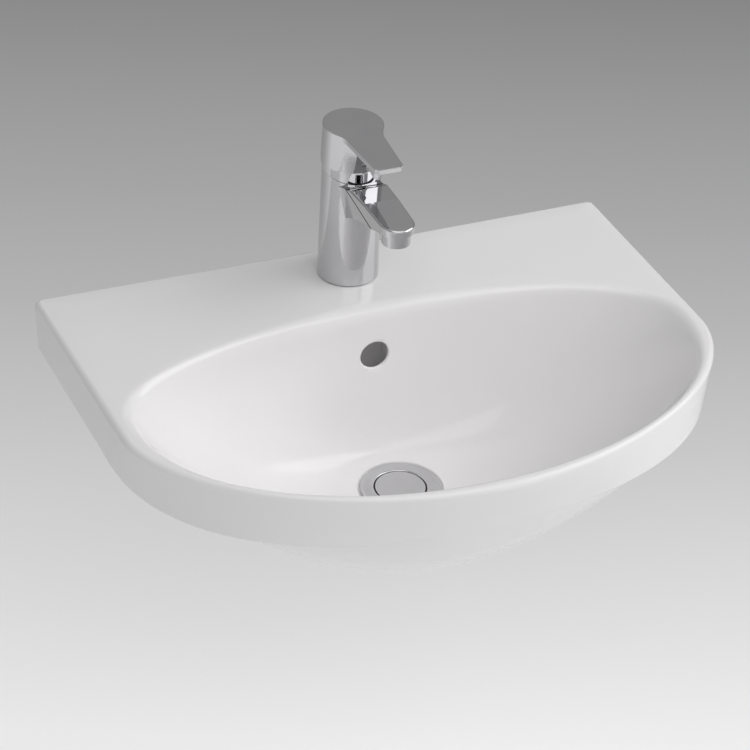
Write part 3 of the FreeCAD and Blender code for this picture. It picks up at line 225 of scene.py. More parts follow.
def slab_outline(share):
    """Outline of the rim slab: straight back and sides, and a superellipse in front.

    share runs from 0 at the rim to 1 at the worktop and mixes the two outlines point by point.
    """
    top_x, top_y = superellipse(*FRONT_AT_RIM[:3], FINE)
    low_x, low_y = superellipse(*FRONT_AT_FOOT[:3], FINE)
    x = (1 - share) * top_x + share * low_x
    y = (1 - share) * (FRONT_AT_RIM[3] - top_y) + share * (FRONT_AT_FOOT[3] - low_y)
    half = SLAB_HALF - SLAB_DRAFT * share
    bend = np.radians(np.linspace(0, 90, 40))
    corner_x = half - CORNER + CORNER * np.cos(bend)
    corner_y = -CORNER - BACK_PLAY + CORNER * np.sin(bend)
    side = np.linspace(0, 1, 60)[1:-1]
    side_x = x[0] + side * (corner_x[0] - x[0])
    side_y = y[0] + side * (corner_y[0] - y[0])
    back_x = np.linspace(half - CORNER, CORNER - half, 200)[1:-1]
    back_y = np.full_like(back_x, -BACK_PLAY)
    return (np.r_[side_x, corner_x, back_x, -corner_x[::-1], -side_x[::-1], x[::-1]],
            np.r_[side_y, corner_y, back_y, corner_y[::-1], side_y[::-1], y[::-1]])


def round_outline(part, spread, fall, front_power, rear_power):
    """Oval round the waste at a part of the full depth: two superellipse halves that meet.

    It is the well's circle at part 1, and grows upwards by the square root of 1 - part at the
    sides, and of 1 - part^fall in front and at the rear.
    """
    share = np.sqrt(1 - part)
    half = WELL + spread[0] * share
    front = -WASTE_BACK - WELL - spread[1] * np.sqrt(1 - part ** fall[0])
    rear = -WASTE_BACK + WELL + spread[2] * np.sqrt(1 - part ** fall[1])
    middle = -WASTE_BACK - BOWL_SHIFT * share
    rear_x, rear_y = superellipse(half, rear - middle, rear_power, FINE)
    front_x, front_y = superellipse(half, middle - front, front_power, FINE)
    return np.r_[rear_x, front_x[::-1]], np.r_[middle + rear_y, middle - front_y[::-1]]


def bowl_outline(depth):
    """Inside of the bowl at a depth below the rim."""
    return round_outline(depth / BOWL_DEPTH, BOWL_SPREAD, BOWL_FALL, 2.09, 2.18)


def bulge_outline(depth):
    """Outside of the bowl at a depth below the rim; its front gets rounder with the depth."""
    lower = np.clip((depth - RIM) / (BULGE_DEPTH - RIM), 0, 1)
    return round_outline(depth / BULGE_DEPTH, BULGE_SPREAD, BULGE_FALL, 2.3 - 0.35 * lower, 2.1)


def radii(outline, angles):
    """Distance from the waste's axis to an outline, for each angle round it."""
    x, y = outline
    around = np.arctan2(y + WASTE_BACK, x)
    order = np.argsort(around)
    return np.interp(angles, around[order], np.hypot(x, y + WASTE_BACK)[order], period=2 * np.pi)


def spread_angles():
    """Angles round the waste, closer together where the back corners are."""
    corner = math.atan2(WASTE_BACK - CORNER_AT[1], CORNER_AT[0])
    near = np.radians(np.linspace(-1.4, 1.4, 15))
    return np.sort(np.r_[np.linspace(-np.pi, np.pi, 480, endpoint=False),
                         corner + near, np.pi - corner + near])


def smooth_step(x):
    """Rise from 0 to 1 with level ends: 3x^2 - 2x^3."""
    x = np.clip(x, 0, 1)
    return x * x * (3 - 2 * x)


def radii_between(outline, steps, samples):
    """Radii of an outline whose step changes round the ring.

    They are mixed linearly from a few even steps between the lowest and the highest.
    """
    even = np.linspace(steps.min(), steps.max(), samples)
    table = np.array([radii(outline(step), angles) for step in even])
    place = (steps - steps.min()) / max(np.ptp(steps), 1e-9) * (samples - 1)
    low = np.minimum(place.astype(int), samples - 2)
    column = np.arange(len(steps))
    return table[low, column] + (table[low + 1, column] - table[low, column]) * (place - low)


angles = spread_angles()
ones = np.ones_like(angles)
rings = []


def ring(radius, height):
    """One closed ring of the casting, at a radius and a height that may change round it."""
    rings.append(np.stack([radius * ones, height * ones], axis=1))


# waste hole, recess and well
for radius, height in (
        (WASTE_HOLE, BOSS_FOOT), (WASTE_HOLE, RECESS_LEVEL - 0.6),
        (WASTE_HOLE + 0.6, RECESS_LEVEL), (RECESS - 0.9, RECESS_LEVEL),
        (RECESS, RECESS_LEVEL + 0.4), (RECESS, WELL_LEVEL - 0.8), (RECESS + 0.8, WELL_LEVEL),
        (WELL - 4, WELL_LEVEL), (WELL, WELL_LEVEL)):
    ring(radius, height)

# bowl, up to where the lip begins
rim_in = radii(bowl_outline(0.0), angles)
rim_out = radii(slab_outline(0.0), angles)
width = rim_out - rim_in
behind = smooth_step((np.sin(angles) + 0.35) / 1.2)       # 0 in front of the waste, 1 behind it
lip = np.minimum(LIP_FRONT + (LIP_REAR - LIP_FRONT) * behind, 0.47 * width)
roll = np.minimum(EDGE_ROLL, 0.48 * width)
lip_share = np.sqrt(1 - lip / BOWL_DEPTH)
for share in np.linspace(0, 1, 46)[1:]:
    depth = BOWL_DEPTH * (1 - (share * lip_share) ** 2)
    ring(radii_between(bowl_outline, depth, 3), RIM - depth)

# lip: a parabola from the bowl's wall to the deck
lip_start = rings[-1][:, 0]
for share in np.linspace(0, 1, 9)[1:]:
    left = 1 - share
    ring(left ** 2 * lip_start + 2 * share * left * rim_in + share ** 2 * (rim_in + lip),
         RIM - left ** 2 * lip)

# deck and rolled edge
for share in np.linspace(0, 1, 7)[1:]:
    ring(rim_in + lip + share * (width - lip - roll), RIM)
low_out = radii(slab_outline(1.0), angles)
for turn in np.radians(np.linspace(0, 90, 9)[1:]):
    drop = roll * (1 - np.cos(turn))
    face = rim_out + (low_out - rim_out) * drop / RIM
    ring(face - roll * (1 - np.sin(turn)), RIM - drop)

# skirt, drawn to the bulge where the two run into each other in front
bulge_low = radii(bulge_outline(RIM), angles)
gap = low_out - bulge_low
NEAR = 2.0                    # a gap below this fades out, so that the two meet smoothly
foot_out = np.where(gap < NEAR, bulge_low + smooth_step(gap / NEAR) * gap, low_out)
for share in np.linspace(0, 1, 12)[1:]:
    height = (RIM - roll) * (1 - share)
    face = radii_between(slab_outline, 1 - height / RIM, 2)
    pull = smooth_step((share - 0.6) / 0.4)
    ring(face + (foot_out - low_out) * pull, height)

# foot, inside of the skirt and underside of the deck, which close up where the bulge is near
room = np.clip(foot_out - SKIRT - bulge_low, 0, None)
ceiling = HOLLOW * smooth_step(room / 4.0)
foot_in = bulge_low + room
ring(foot_in, 0.0)
ring(foot_in, ceiling * 0.5)
ring(foot_in, ceiling)
high_bulge = [radii(bulge_outline(step), angles) for step in (RIM - HOLLOW, RIM)]
bulge_high = high_bulge[1] + (high_bulge[0] - high_bulge[1]) * ceiling / HOLLOW
bulge_high = np.minimum(bulge_high, foot_in)
ring(foot_in * 0.4 + bulge_high * 0.6, ceiling)
ring(bulge_high, ceiling)
ring(bulge_high * 0.5 + bulge_low * 0.5, ceiling * 0.5)

# outside of the bowl and the boss of the waste
start = np.sqrt(1 - RIM / BULGE_DEPTH)
for share in np.linspace(1, 0, 34):
    depth = BULGE_DEPTH * (1 - (share * start) ** 2)
    ring(radii(bulge_outline(depth), angles), RIM - depth)
ring(BOSS + 1.0, RIM - BULGE_DEPTH)
ring(BOSS, RIM - BULGE_DEPTH - 1.0)
ring(BOSS, BOSS_FOOT + 0.8)
ring(BOSS - 0.8, BOSS_FOOT)


def weld(mesh):
    """Merges points that lie on each other, and drops the faces that have no area left."""
    form = bmesh.new()
    form.from_mesh(mesh)
    bmesh.ops.remove_doubles(form, verts=form.verts, dist=0.002 * MM)
    form.to_mesh(mesh)
    form.free()


def closed_rings(name, rings, angles, centre):
    """Mesh of a surface that closes both round each ring and from the last ring to the first.

    Point (i, j) is the centre plus ring i's radius at angle j, at ring i's height. Faces look
    outwards where the rings go up inside and down outside.
    """
    grid = np.stack(rings)
    count, around = grid.shape[:2]
    points = np.empty((count, around, 3))
    points[..., 0] = grid[..., 0] * np.cos(angles) + centre[0]
    points[..., 1] = grid[..., 0] * np.sin(angles) + centre[1]
    points[..., 2] = grid[..., 1]
    index = np.arange(count * around).reshape(count, around)
    ahead = np.roll(index, -1, axis=0)
    faces = np.stack([index, ahead, np.roll(ahead, -1, axis=1), np.roll(index, -1, axis=1)],
                     axis=-1).reshape(-1, 4)
    mesh = bpy.data.meshes.new(name)
    mesh.vertices.add(count * around)
    mesh.vertices.foreach_set("co", (points * MM).ravel())
    mesh.loops.add(faces.size)
    mesh.loops.foreach_set("vertex_index", faces.ravel())
    mesh.polygons.add(len(faces))
    mesh.polygons.foreach_set("loop_start", np.arange(0, faces.size, 4))
    mesh.update(calc_edges=True)
    weld(mesh)
    piece = bpy.data.objects.new(name, mesh)
    bpy.context.collection.objects.link(piece)
    return piece


def stack(name, outlines):
    """Closed solid through outlines of equally many points, given in order from one end to the
    other and counter-clockwise as seen from the last one."""
    around = len(outlines[0])
    points = np.concatenate(outlines) * MM
    ends = [tuple(range(around))[::-1], tuple(range(len(points) - around, len(points)))]
    index = np.arange(len(points)).reshape(-1, around)
    turned = np.roll(index, -1, axis=1)
    sides = np.stack([index[:-1], turned[:-1], turned[1:], index[1:]], axis=-1).reshape(-1, 4)
    mesh = bpy.data.meshes.new(name)
    mesh.from_pydata(points.tolist(), [], ends + sides.tolist())
    piece = bpy.data.objects.new(name, mesh)
    bpy.context.collection.objects.link(piece)
    return piece


def box(x_range, y_range, level):
    """Rectangle at a level, counter-clockwise from above."""
    (x0, x1), (y0, y1) = x_range, y_range
    return np.array([(x0, y0, level), (x1, y0, level), (x1, y1, level), (x0, y1, level)])


def circle(centre, radius, level, count=72):
    """Circle at a level, counter-clockwise from above."""
    turns = np.linspace(0, 2 * np.pi, count, endpoint=False) + np.pi / count
    return np.stack([centre[0] + radius * np.cos(turns), centre[1] + radius * np.sin(turns),
                     np.full(count, level)], axis=1)


def carve(piece, tool, operation):
    """Joins a tool to a piece or cuts it out, and takes the tool away."""
    step = piece.modifiers.new("carve", "BOOLEAN")
    step.object = tool
    step.operation = operation
    step.solver = "EXACT"
    depsgraph = bpy.context.evaluated_depsgraph_get()
    old = piece.data
    piece.data = bpy.data.meshes.new_from_object(piece.evaluated_get(depsgraph))
    piece.modifiers.clear()
    bpy.data.meshes.remove(old)
    bpy.data.meshes.remove(tool.data)


def smooth(piece, crease):
    """Smooth shading, with edges kept sharp that turn by more than the crease in degrees."""
    piece.data.shade_smooth()
    piece.data.set_sharp_from_angle(angle=math.radians(crease))


basin = closed_rings("basin_casting", rings, angles, (0, -WASTE_BACK))

# the duct's rib on the back of the bowl: a rounded block whose front lies inside the wall
RIB_HALF, RIB_BACK, RIB_TOP, RIB_FOOT = 25.0, -70.1, 16.5, -116.0
RIB_EDGE = 6.0                # radius of its upright edges
RIB_CROWN = 5.0               # radius of its top edges
bend = np.radians(np.linspace(0, 90, 9))
crown_foot = RIB_TOP - RIB_CROWN
# few levels beside the boss, more up the wall of the bowl, and the round of the crown
levels = np.r_[np.linspace(RIB_FOOT, -96, 5), np.linspace(-88, crown_foot, 14),
               crown_foot + RIB_CROWN * np.sin(bend[1:])]
rib = []
for height in levels:
    depth = np.clip(RIM - height, 0, BOWL_DEPTH - 0.5)
    front = 0.5 * (bowl_outline(depth)[1].max() + bulge_outline(depth)[1].max())
    tilt = np.arcsin(np.clip((height - crown_foot) / RIB_CROWN, 0, 1))
    pull = RIB_CROWN * (1 - np.cos(tilt))
    half, rear = RIB_HALF - pull, RIB_BACK - pull
    rib.append(np.array(
        [(-half, front, height), (half, front, height)]
        + [(half - RIB_EDGE * (1 - math.cos(t)), rear - RIB_EDGE * (1 - math.sin(t)), height)
           for t in bend]
        + [(RIB_EDGE * (1 - math.sin(t)) - half, rear - RIB_EDGE * (1 - math.cos(t)), height)
           for t in bend]))
carve(basin, stack("rib", rib), "UNION")

# the duct behind the overflow, with a pocket that thins the bowl's wall there, and the chamber
# round the waste with the passage to it
DUCT = (-17, 17)
DUCT_FRONT, DUCT_BACK = -90.1, -78.1
PASSAGE_FRONT = -143.4
POCKET_FRONT = -101.5
CHAMBER = 29.0
CHAMBER_FOOT, CHAMBER_TOP = -112, -102
carve(basin, stack("duct", [box(DUCT, (DUCT_FRONT, DUCT_BACK), z) for z in (-110, 8.5)]),
      "DIFFERENCE")
carve(basin, stack("passage", [box(DUCT, (PASSAGE_FRONT, DUCT_BACK), z)
                               for z in (CHAMBER_FOOT, CHAMBER_TOP)]), "DIFFERENCE")
carve(basin, stack("chamber", [circle((0, -WASTE_BACK), CHAMBER, z)
                               for z in (CHAMBER_FOOT, CHAMBER_TOP)]), "DIFFERENCE")
carve(basin, stack("pocket", [box(DUCT, (POCKET_FRONT, -85), z) for z in (-36, 12.5)]),
      "DIFFERENCE")

# the overflow hole, whose edge is softened by the glaze, and the tap hole
OVERFLOW, OVERFLOW_LEVEL = 12.0, -1.0
TAP_HOLE, TAP_BACK = 17.5, 42.4
hole = [circle((0, OVERFLOW_LEVEL), OVERFLOW + flare, place)[:, [0, 2, 1]][::-1]
        for place, flare in ((-116, 1.7), (-103.3, 1.3), (-102.9, 0.7), (-102.4, 0.3),
                             (-101.7, 0.05), (-101.0, 0), (-90, 0))]
carve(basin, stack("overflow", hole), "DIFFERENCE")
carve(basin, stack("tap_hole", [circle((0, -TAP_BACK), TAP_HOLE, z) for z in (20, 50)]),
      "DIFFERENCE")
smooth(basin, 40)
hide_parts("basin")
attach(basin, "basin_and_fixed")


def new_group(name, inputs, outputs):
    """An empty node group with float and vector sockets, and its two end nodes."""
    group = bpy.data.node_groups.new(name, "ShaderNodeTree")
    for socket, kind, value in inputs:
        made = group.interface.new_socket(socket, in_out="INPUT", socket_type="NodeSocket" + kind)
        if value is not None:
            made.default_value = value
    for socket in outputs:
        group.interface.new_socket(socket, in_out="OUTPUT", socket_type="NodeSocketFloat")
    return (group, group.nodes.new("NodeGroupInput").outputs,
            group.nodes.new("NodeGroupOutput").inputs)


def calculate(tree, operation, *terms):
    """Output of a math node on numbers and sockets."""
    node = tree.nodes.new("ShaderNodeMath")
    node.operation = operation
    for socket, term in zip(node.inputs, terms):
        if isinstance(term, (int, float)):
            socket.default_value = term
        else:
            tree.links.new(term, socket)
    return node.outputs["Value"]


# slow drift: soft noise between two values, as a finish varies over a hand's breadth
drift_group, given, result = new_group(
    "slow_drift", [("Vector", "Vector", None), ("Size", "Float", 20.0), ("Low", "Float", 0.0),
                   ("High", "Float", 1.0)], ["Value"])
noise = drift_group.nodes.new("ShaderNodeTexNoise")
noise.inputs["Detail"].default_value = 3
spread = drift_group.nodes.new("ShaderNodeMapRange")
spread.inputs["From Min"].default_value = 0.3
spread.inputs["From Max"].default_value = 0.7
drift_group.links.new(given["Vector"], noise.inputs["Vector"])
drift_group.links.new(given["Size"], noise.inputs["Scale"])
drift_group.links.new(noise.outputs["Fac"], spread.inputs["Value"])
drift_group.links.new(given["Low"], spread.inputs["To Min"])
drift_group.links.new(given["High"], spread.inputs["To Max"])
drift_group.links.new(spread.outputs["Result"], result["Value"])

# fine grain: height of a skin with a coarse and a four times finer grain
grain_group, given, result = new_group(
    "fine_grain", [("Vector", "Vector", None), ("Size", "Float", 500.0),
                   ("Fine Share", "Float", 0.4)], ["Height"])
coarse = grain_group.nodes.new("ShaderNodeTexNoise")
fine = grain_group.nodes.new("ShaderNodeTexNoise")
for noise, factor in ((coarse, 1), (fine, 4)):
    grain_group.links.new(given["Vector"], noise.inputs["Vector"])
    grain_group.links.new(calculate(grain_group, "MULTIPLY", given["Size"], factor),
                          noise.inputs["Scale"])
share_fine = calculate(grain_group, "MULTIPLY", fine.outputs["Fac"], given["Fine Share"])
grain_group.links.new(calculate(grain_group, "ADD", coarse.outputs["Fac"], share_fine),
                      result["Height"])


def new_material(name):
    """A material with its tree, its shader and its Object coordinates."""
    made = bpy.data.materials.new(name)
    made.use_nodes = True
    tree = made.node_tree
    coordinates = tree.nodes.new("ShaderNodeTexCoord").outputs["Object"]
    return made, tree, tree.nodes["Principled BSDF"], coordinates


def use_group(tree, group, vector, **values):
    """Places a group in a material and gives its first output."""
    node = tree.nodes.new("ShaderNodeGroup")
    node.node_tree = group
    tree.links.new(vector, node.inputs["Vector"])
    for name, value in values.items():
        node.inputs[name.replace("_", " ")].default_value = value
    return node.outputs[0]


def tint(tree, shader, mask, low, high):
    """Base colour between two colours by a mask."""
    mix = tree.nodes.new("ShaderNodeMix")
    mix.data_type = "RGBA"
    mix.inputs["A"].default_value = (*low, 1)
    mix.inputs["B"].default_value = (*high, 1)
    tree.links.new(mask, mix.inputs["Factor"])
    tree.links.new(mix.outputs["Result"], shader.inputs["Base Color"])
    return mix


def raise_skin(tree, shader, height, distance, strength):
    """Bump from a height, in metres."""
    bump = tree.nodes.new("ShaderNodeBump")
    bump.inputs["Distance"].default_value = distance
    bump.inputs["Strength"].default_value = strength
    tree.links.new(height, bump.inputs["Height"])
    tree.links.new(bump.outputs["Normal"], shader.inputs["Normal"])


# white glaze: deep gloss with a faint swell, a shade greyer where it is thin, and a bare ground
# foot under the skirt and the boss, where the casting stood in the kiln
glaze, tree, shader, where = new_material("white_glaze")
swell = use_group(tree, drift_group, where, Size=9.0, Low=0.0, High=1.0)
flat_down = tree.nodes.new("ShaderNodeNewGeometry")
normal = tree.nodes.new("ShaderNodeSeparateXYZ")
tree.links.new(flat_down.outputs["Normal"], normal.inputs["Vector"])
spot = tree.nodes.new("ShaderNodeSeparateXYZ")
tree.links.new(where, spot.inputs["Vector"])
faces_down = calculate(tree, "LESS_THAN", normal.outputs["Z"], -0.97)
foot = calculate(tree, "COMPARE", spot.outputs["Z"], 0.0, 0.0006)
boss = calculate(tree, "COMPARE", spot.outputs["Z"], BOSS_FOOT * MM, 0.0006)
bare = calculate(tree, "MULTIPLY", faces_down, calculate(tree, "MAXIMUM", foot, boss))
glazed = tint(tree, shader, swell, (0.905, 0.893, 0.896), (0.92, 0.908, 0.911))
biscuit = tree.nodes.new("ShaderNodeMix")
biscuit.data_type = "RGBA"
biscuit.inputs["B"].default_value = (0.74, 0.69, 0.60, 1)
tree.links.new(bare, biscuit.inputs["Factor"])
tree.links.new(glazed.outputs["Result"], biscuit.inputs["A"])
tree.links.new(biscuit.outputs["Result"], shader.inputs["Base Color"])
sheen = use_group(tree, drift_group, where, Size=30.0, Low=0.07, High=0.12)
tree.links.new(calculate(tree, "ADD", sheen, calculate(tree, "MULTIPLY", bare, 0.75)),
               shader.inputs["Roughness"])
raise_skin(tree, shader, use_group(tree, grain_group, where, Size=120.0, Fine_Share=0.1),
           0.0002, 0.12)
basin.data.materials.clear()
basin.data.materials.append(glaze)


# ------------------------------------------------------------------ seals and washers
# Black moulded rubber: under the waste flange, under the boss, round the plug, under the tap,
# in the cartridge and above the aerator. A white plastic washer lets the backnut slip.

rubber, tree, shader, where = new_material("black_rubber")
bloom = use_group(tree, drift_group, where, Size=60.0)
tint(tree, shader, bloom, (0.035, 0.035, 0.036), (0.06, 0.06, 0.058))
tree.links.new(use_group(tree, drift_group, where, Size=200.0, Low=0.55, High=0.75),
               shader.inputs["Roughness"])
raise_skin(tree, shader, use_group(tree, grain_group, where, Size=1500.0), 0.0001, 0.3)

moulded, tree, shader, where = new_material("white_moulded_plastic")
cloud = use_group(tree, drift_group, where, Size=40.0)
tint(tree, shader, cloud, (0.80, 0.80, 0.775), (0.86, 0.86, 0.84))
tree.links.new(use_group(tree, drift_group, where, Size=150.0, Low=0.36, High=0.5),
               shader.inputs["Roughness"])
raise_skin(tree, shader, use_group(tree, grain_group, where, Size=1200.0), 0.00005, 0.3)


def finish(material, *names):
    """Gives CAD pieces a material."""
    for name in names:
        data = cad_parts[name].data
        data.materials.clear()
        data.materials.append(material)


finish(rubber, "flange_gasket", "lower_gasket", "plug_seal", "base_gasket", "fixing_gasket",
       "aerator_seal", "base_seals")
finish(moulded, "slip_washer")


# ------------------------------------------------------------------ waste body
# Chromed brass: a flange that lies in the well's recess, a throat with four overflow slots, a
# threaded tail and a bridge that carries the click unit. Turned from a forging and polished.

TAIL, TAIL_PITCH = 20.95, 2.309
BORE = 18.5
THROAT = 22.4
FLANGE = 32.5
PLUG_SEAT = 21.5
waste_turns = np.linspace(0, 2 * np.pi, 96, endpoint=False)


def even_rings(profile, turns):
    """Rings of one radius and height each, from pairs of radius and height."""
    return [np.stack([radius + 0 * turns, height + 0 * turns], axis=1)
            for radius, height in profile]


def thread(radius, depth, pitch, low, high, turns):
    """Rings of a screw thread: radius - depth * (0.5 - 0.5 cos(height/pitch - turn)).

    The thread runs out over one pitch at both ends.
    """
    rings = []
    for height in np.arange(low, high + 1e-6, pitch / 8):
        phase = height / pitch - turns / (2 * np.pi)
        wave = 0.5 - 0.5 * np.cos(2 * np.pi * phase)
        fade = np.clip(min(height - low, high - height) / pitch, 0, 1)
        rings.append(np.stack([radius - depth * (wave * fade + (1 - fade) * 0.9),
                               height + 0 * turns], axis=1))
    return rings


# upwards outside: the tail's thread with the relief between its two parts, the throat and the
# flange with its rounded edge; then down the bore, from the plug's seat to the mouth of the tail
waste_rings = even_rings([(BORE, -66.0), (BORE + 0.8, -66.0)], waste_turns)
waste_rings += thread(TAIL, 1.2, TAIL_PITCH, -65.4, -51.0, waste_turns)
waste_rings += even_rings([(TAIL - 0.65, -50.9), (TAIL - 0.65, -49.1)], waste_turns)
waste_rings += thread(TAIL, 1.2, TAIL_PITCH, -49.0, -26.0, waste_turns)
waste_rings += even_rings([
    (TAIL, -25.2), (THROAT, -24.4), (THROAT, -24.0), (THROAT, -14.0), (THROAT, -0.95),
    (FLANGE - 0.7, -0.95), (FLANGE - 0.2, -0.8), (FLANGE, -0.4), (FLANGE - 0.05, 0.0),
    (FLANGE - 0.3, 0.35), (FLANGE - 0.8, 0.6), (FLANGE - 1.5, 0.75), (29.5, 0.86), (27.0, 0.9),
    (24.0, 0.9), (PLUG_SEAT + 1.1, 0.82), (PLUG_SEAT + 0.5, 0.6), (PLUG_SEAT + 0.15, 0.25),
    (PLUG_SEAT, -0.2), (PLUG_SEAT, -4.8), (BORE, -5.8), (BORE, -20.0), (BORE, -45.0)], waste_turns)
for level_ring in waste_rings:
    level_ring[:, 1] += WELL_LEVEL
waste_body = closed_rings("waste_flange_and_tail", waste_rings[::-1], waste_turns,
                          (0, -WASTE_BACK))
SLOT_HALF = 4.5
HUB = 8.6
for x_half, y_half in ((SLOT_HALF, THROAT + 1), (THROAT + 1, SLOT_HALF)):
    carve(waste_body, stack("slot", [
        box((-x_half, x_half), (-WASTE_BACK - y_half, -WASTE_BACK + y_half), WELL_LEVEL + z)
        for z in (-21, -13)]), "DIFFERENCE")
carve(waste_body, stack("bridge", [
    box((-BORE - 1, BORE + 1), (-WASTE_BACK - 3, -WASTE_BACK + 3), WELL_LEVEL + z)
    for z in (-50, -44)]), "UNION")
carve(waste_body, stack("hub", [
    circle((0, -WASTE_BACK), radius, WELL_LEVEL + z)
    for radius, z in ((HUB - 0.6, -51), (HUB, -50.4), (HUB, -42.6), (HUB - 0.6, -42))]), "UNION")
carve(waste_body, stack("hub_bore", [circle((0, -WASTE_BACK), 6.1, WELL_LEVEL + z)
                                     for z in (-52, -41)]), "DIFFERENCE")
smooth(waste_body, 35)
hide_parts("waste_body")
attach(waste_body, "basin_and_fixed")

# chrome: a bright mirror with the faint haze that wiping leaves


def chrome_plate(name):
    """Polished plating; gives the material, its tree, its shader and its coordinates."""
    made, tree, shader, where = new_material(name)
    shader.inputs["Metallic"].default_value = 1
    haze = use_group(tree, drift_group, where, Size=35.0)
    colour = tint(tree, shader, haze, (0.60, 0.60, 0.615), (0.64, 0.64, 0.65))
    rough = use_group(tree, drift_group, where, Size=22.0, Low=0.035, High=0.075)
    tree.links.new(rough, shader.inputs["Roughness"])
    return made, tree, shader, where, colour, rough


chrome = chrome_plate("polished_chrome")[0]
waste_body.data.materials.clear()
waste_body.data.materials.append(chrome)


# ------------------------------------------------------------------ backnut and click unit
# Turned brass, with the fine lines of the lathe. The backnut draws the flange down on the well;
# the click unit sits in the bridge and its stem carries the plug on a steel spring.

# lathe lines: height of fine rings on ends and flanks, from the distance to the axis Z plus the
# height; the vector comes centred on the piece's axis
lathe_group, given, result = new_group(
    "lathe_lines", [("Vector", "Vector", None), ("Pitch", "Float", 0.0004)], ["Height"])
flat = lathe_group.nodes.new("ShaderNodeSeparateXYZ")
lathe_group.links.new(given["Vector"], flat.inputs["Vector"])
square = [calculate(lathe_group, "POWER", calculate(lathe_group, "ABSOLUTE", flat.outputs[axis]), 2.0)
          for axis in ("X", "Y")]
distance = calculate(lathe_group, "SQRT", calculate(lathe_group, "ADD", *square))
along = calculate(lathe_group, "ADD", distance, flat.outputs["Z"])
phase = calculate(lathe_group, "MULTIPLY", calculate(lathe_group, "DIVIDE", along, given["Pitch"]),
                  2 * math.pi)
lathe_group.links.new(calculate(lathe_group, "SINE", phase), result["Height"])


def turned_metal(name, centre, lean, low, high, rough, pitch):
    """Bare metal with lathe lines about an axis through a centre that leans by an angle."""
    made, tree, shader, where = new_material(name)
    shader.inputs["Metallic"].default_value = 1
    shift = tree.nodes.new("ShaderNodeMapping")
    shift.vector_type = "TEXTURE"
    shift.inputs["Location"].default_value = centre
    shift.inputs["Rotation"].default_value = (math.radians(lean), 0, 0)
    tree.links.new(where, shift.inputs["Vector"])
    tint(tree, shader, use_group(tree, drift_group, where, Size=90.0), low, high)
    tree.links.new(use_group(tree, drift_group, where, Size=300.0, Low=rough - 0.05,
                             High=rough + 0.06), shader.inputs["Roughness"])
    raise_skin(tree, shader, use_group(tree, lathe_group, shift.outputs["Vector"], Pitch=pitch),
               0.00001, 0.5)
    return made


BRASS = (0.68, 0.50, 0.24), (0.76, 0.60, 0.32)
STEEL = (0.56, 0.56, 0.58), (0.64, 0.64, 0.66)
waste_axis = (0, -WASTE_BACK * MM, 0)
finish(turned_metal("turned_brass_waste", waste_axis, 0, *BRASS, 0.22, 0.0005),
       "waste_backnut", "click_stem", "click_housing")
finish(turned_metal("spring_wire", waste_axis, 0, *STEEL, 0.2, 0.0002), "click_spring")


# ------------------------------------------------------------------ plug
# Chromed brass disc, a little domed, that lies flush in the flange. It presses the click stem
# down and springs up by 8 mm, with its rubber seal under it.

PLUG = 20.5
profile = ((2.6, -2.6), (2.6, -8.0), (5.0, -8.0), (5.0, -4.4), (14.0, -4.4), (14.0, -1.6),
           (PLUG, -1.6), (PLUG, 0.0), (PLUG - 0.2, 0.4), (PLUG - 0.7, 0.66), (19.0, 0.82),
           (17.0, 0.98), (12.0, 1.2), (6.0, 1.34), (2.0, 1.38))
plug = stack("plug_cap", [circle((0, -WASTE_BACK), radius, WELL_LEVEL + height, 96)
                          for radius, height in profile])
smooth(plug, 35)
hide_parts("waste_plug")
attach(plug, "plug")
plug.data.materials.clear()
plug.data.materials.append(chrome)


# ------------------------------------------------------------------ tap body
# Chromed brass casting: a slightly tapered body, with the spout growing out of it and the lever
# above. A threaded stud, a horseshoe of rubber and one of steel, and a nut hold it to the deck.

CARTRIDGE_LEAN = 14                               # degrees to the front
CARTRIDGE_PLACE = (0, -TAP_BACK * MM, 0.127)
JOINT_RISE, JOINT_HALF = 0.01395, 0.00064         # middle of the joint, and half its width
STUD, STUD_PITCH = 4.0, 1.25
STUD_BACK = TAP_BACK - 9.5
STUD_LOW, STUD_HIGH = RIM - 50.0, RIM + 25.0
stud_axis = (0, -STUD_BACK * MM, 0)

# painted shade: the two faces of the joint between body and lever, and a hair of the edges beside
# them, are painted near black and made rougher, where the gap lies in shade
chrome_with_painted_gap, tree, shader, where, colour, rough = chrome_plate("polished_chrome_gap_shade")
lean = tree.nodes.new("ShaderNodeMapping")
lean.vector_type = "TEXTURE"
lean.inputs["Location"].default_value = CARTRIDGE_PLACE
lean.inputs["Rotation"].default_value = (math.radians(CARTRIDGE_LEAN), 0, 0)
tree.links.new(where, lean.inputs["Vector"])
rise = tree.nodes.new("ShaderNodeSeparateXYZ")
tree.links.new(lean.outputs["Vector"], rise.inputs["Vector"])
# band round the middle of the joint that is painted near black: painted shade of the gap
painted_gap_shade = calculate(tree, "COMPARE", rise.outputs["Z"], JOINT_RISE, JOINT_HALF)
gap_shade_mix = tree.nodes.new("ShaderNodeMix")
gap_shade_mix.data_type = "RGBA"
gap_shade_mix.inputs["B"].default_value = (0.05, 0.05, 0.055, 1)
tree.links.new(painted_gap_shade, gap_shade_mix.inputs["Factor"])
tree.links.new(colour.outputs["Result"], gap_shade_mix.inputs["A"])
tree.links.new(gap_shade_mix.outputs["Result"], shader.inputs["Base Color"])
tree.links.new(calculate(tree, "ADD", rough, calculate(tree, "MULTIPLY", painted_gap_shade, 0.5)),
               shader.inputs["Roughness"])
finish(chrome_with_painted_gap, "tap_body")
finish(turned_metal("turned_brass_nut", stud_axis, 0, *BRASS, 0.24, 0.0006), "fixing_nut")
finish(turned_metal("steel_washer", (0, -TAP_BACK * MM, 0), 0, *STEEL, 0.3, 0.0007),
       "fixing_washer")

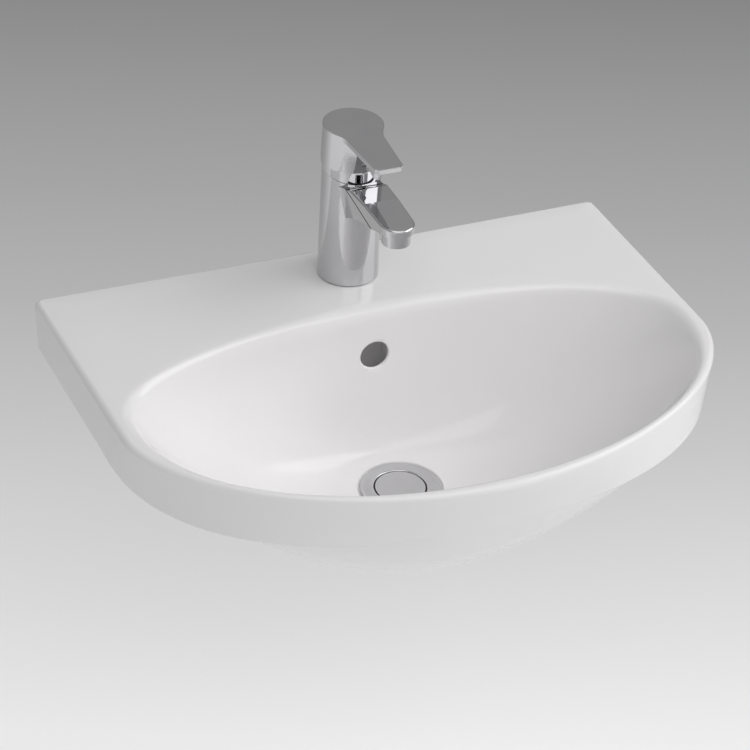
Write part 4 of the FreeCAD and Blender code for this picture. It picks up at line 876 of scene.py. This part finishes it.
stud_turns = np.linspace(0, 2 * np.pi, 48, endpoint=False)
stud_rings = (even_rings([(STUD - 0.8, STUD_LOW)], stud_turns)
              + thread(STUD, 0.65, STUD_PITCH, STUD_LOW + 0.5, STUD_HIGH - 0.5, stud_turns)
              + even_rings([(STUD - 0.8, STUD_HIGH)], stud_turns))
stud = stack("threaded_stud", [
    np.stack([radius * np.cos(stud_turns), radius * np.sin(stud_turns) - STUD_BACK, height],
             axis=1) for radius, height in (level_ring.T for level_ring in stud_rings)])
smooth(stud, 35)
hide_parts("fixing_stud")
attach(stud, "basin_and_fixed")
stud.data.materials.clear()
stud.data.materials.append(turned_metal("steel_stud", stud_axis, 0, *STEEL, 0.25, 0.0003))


# ------------------------------------------------------------------ aerator
# A chromed ring screwed into the spout, with a white plastic insert that breaks up the water.

finish(chrome, "aerator_housing")
finish(moulded, "aerator_insert")


# ------------------------------------------------------------------ cartridge
# Moulded housing with two lapped ceramic discs: the lower one is fixed, and a carrier slides and
# turns the upper one. A brass spindle tips on a steel pin in the turning sleeve, a brass nut
# clamps the housing, and a chromed ring covers it.

finish(moulded, "cartridge_housing", "cartridge_base", "disc_carrier", "turning_sleeve")
finish(turned_metal("turned_brass_cartridge", CARTRIDGE_PLACE, CARTRIDGE_LEAN, *BRASS, 0.2,
                    0.0005), "cartridge_spindle", "cartridge_nut")
finish(turned_metal("steel_pin", CARTRIDGE_PLACE, CARTRIDGE_LEAN, *STEEL, 0.18, 0.0003),
       "pivot_pin")
finish(chrome, "cover_ring")

lapped, tree, shader, where = new_material("lapped_ceramic")
tint(tree, shader, use_group(tree, drift_group, where, Size=120.0), (0.83, 0.81, 0.77),
     (0.89, 0.87, 0.83))
tree.links.new(use_group(tree, drift_group, where, Size=250.0, Low=0.2, High=0.32),
               shader.inputs["Roughness"])
raise_skin(tree, shader, use_group(tree, grain_group, where, Size=4000.0), 0.00001, 0.3)
finish(lapped, "fixed_disc", "moving_disc")


# ------------------------------------------------------------------ lever
# Chromed casting: a hollow cap with a flat blade. A grub screw in its front clamps the spindle,
# and a small grey plug closes the screw's hole.

# the lever's face at the joint carries the same painted gap shade
finish(chrome_with_painted_gap, "lever_handle")
finish(turned_metal("steel_screw", (0, -0.05, 0.157), CARTRIDGE_LEAN + 90, *STEEL, 0.25, 0.0003),
       "grub_screw")
button, tree, shader, where = new_material("indicator_plastic")
tint(tree, shader, use_group(tree, drift_group, where, Size=300.0), (0.32, 0.32, 0.335),
     (0.38, 0.38, 0.40))
tree.links.new(use_group(tree, drift_group, where, Size=500.0, Low=0.22, High=0.32),
               shader.inputs["Roughness"])
raise_skin(tree, shader, use_group(tree, grain_group, where, Size=2500.0), 0.00002, 0.3)
finish(button, "indicator_plug")
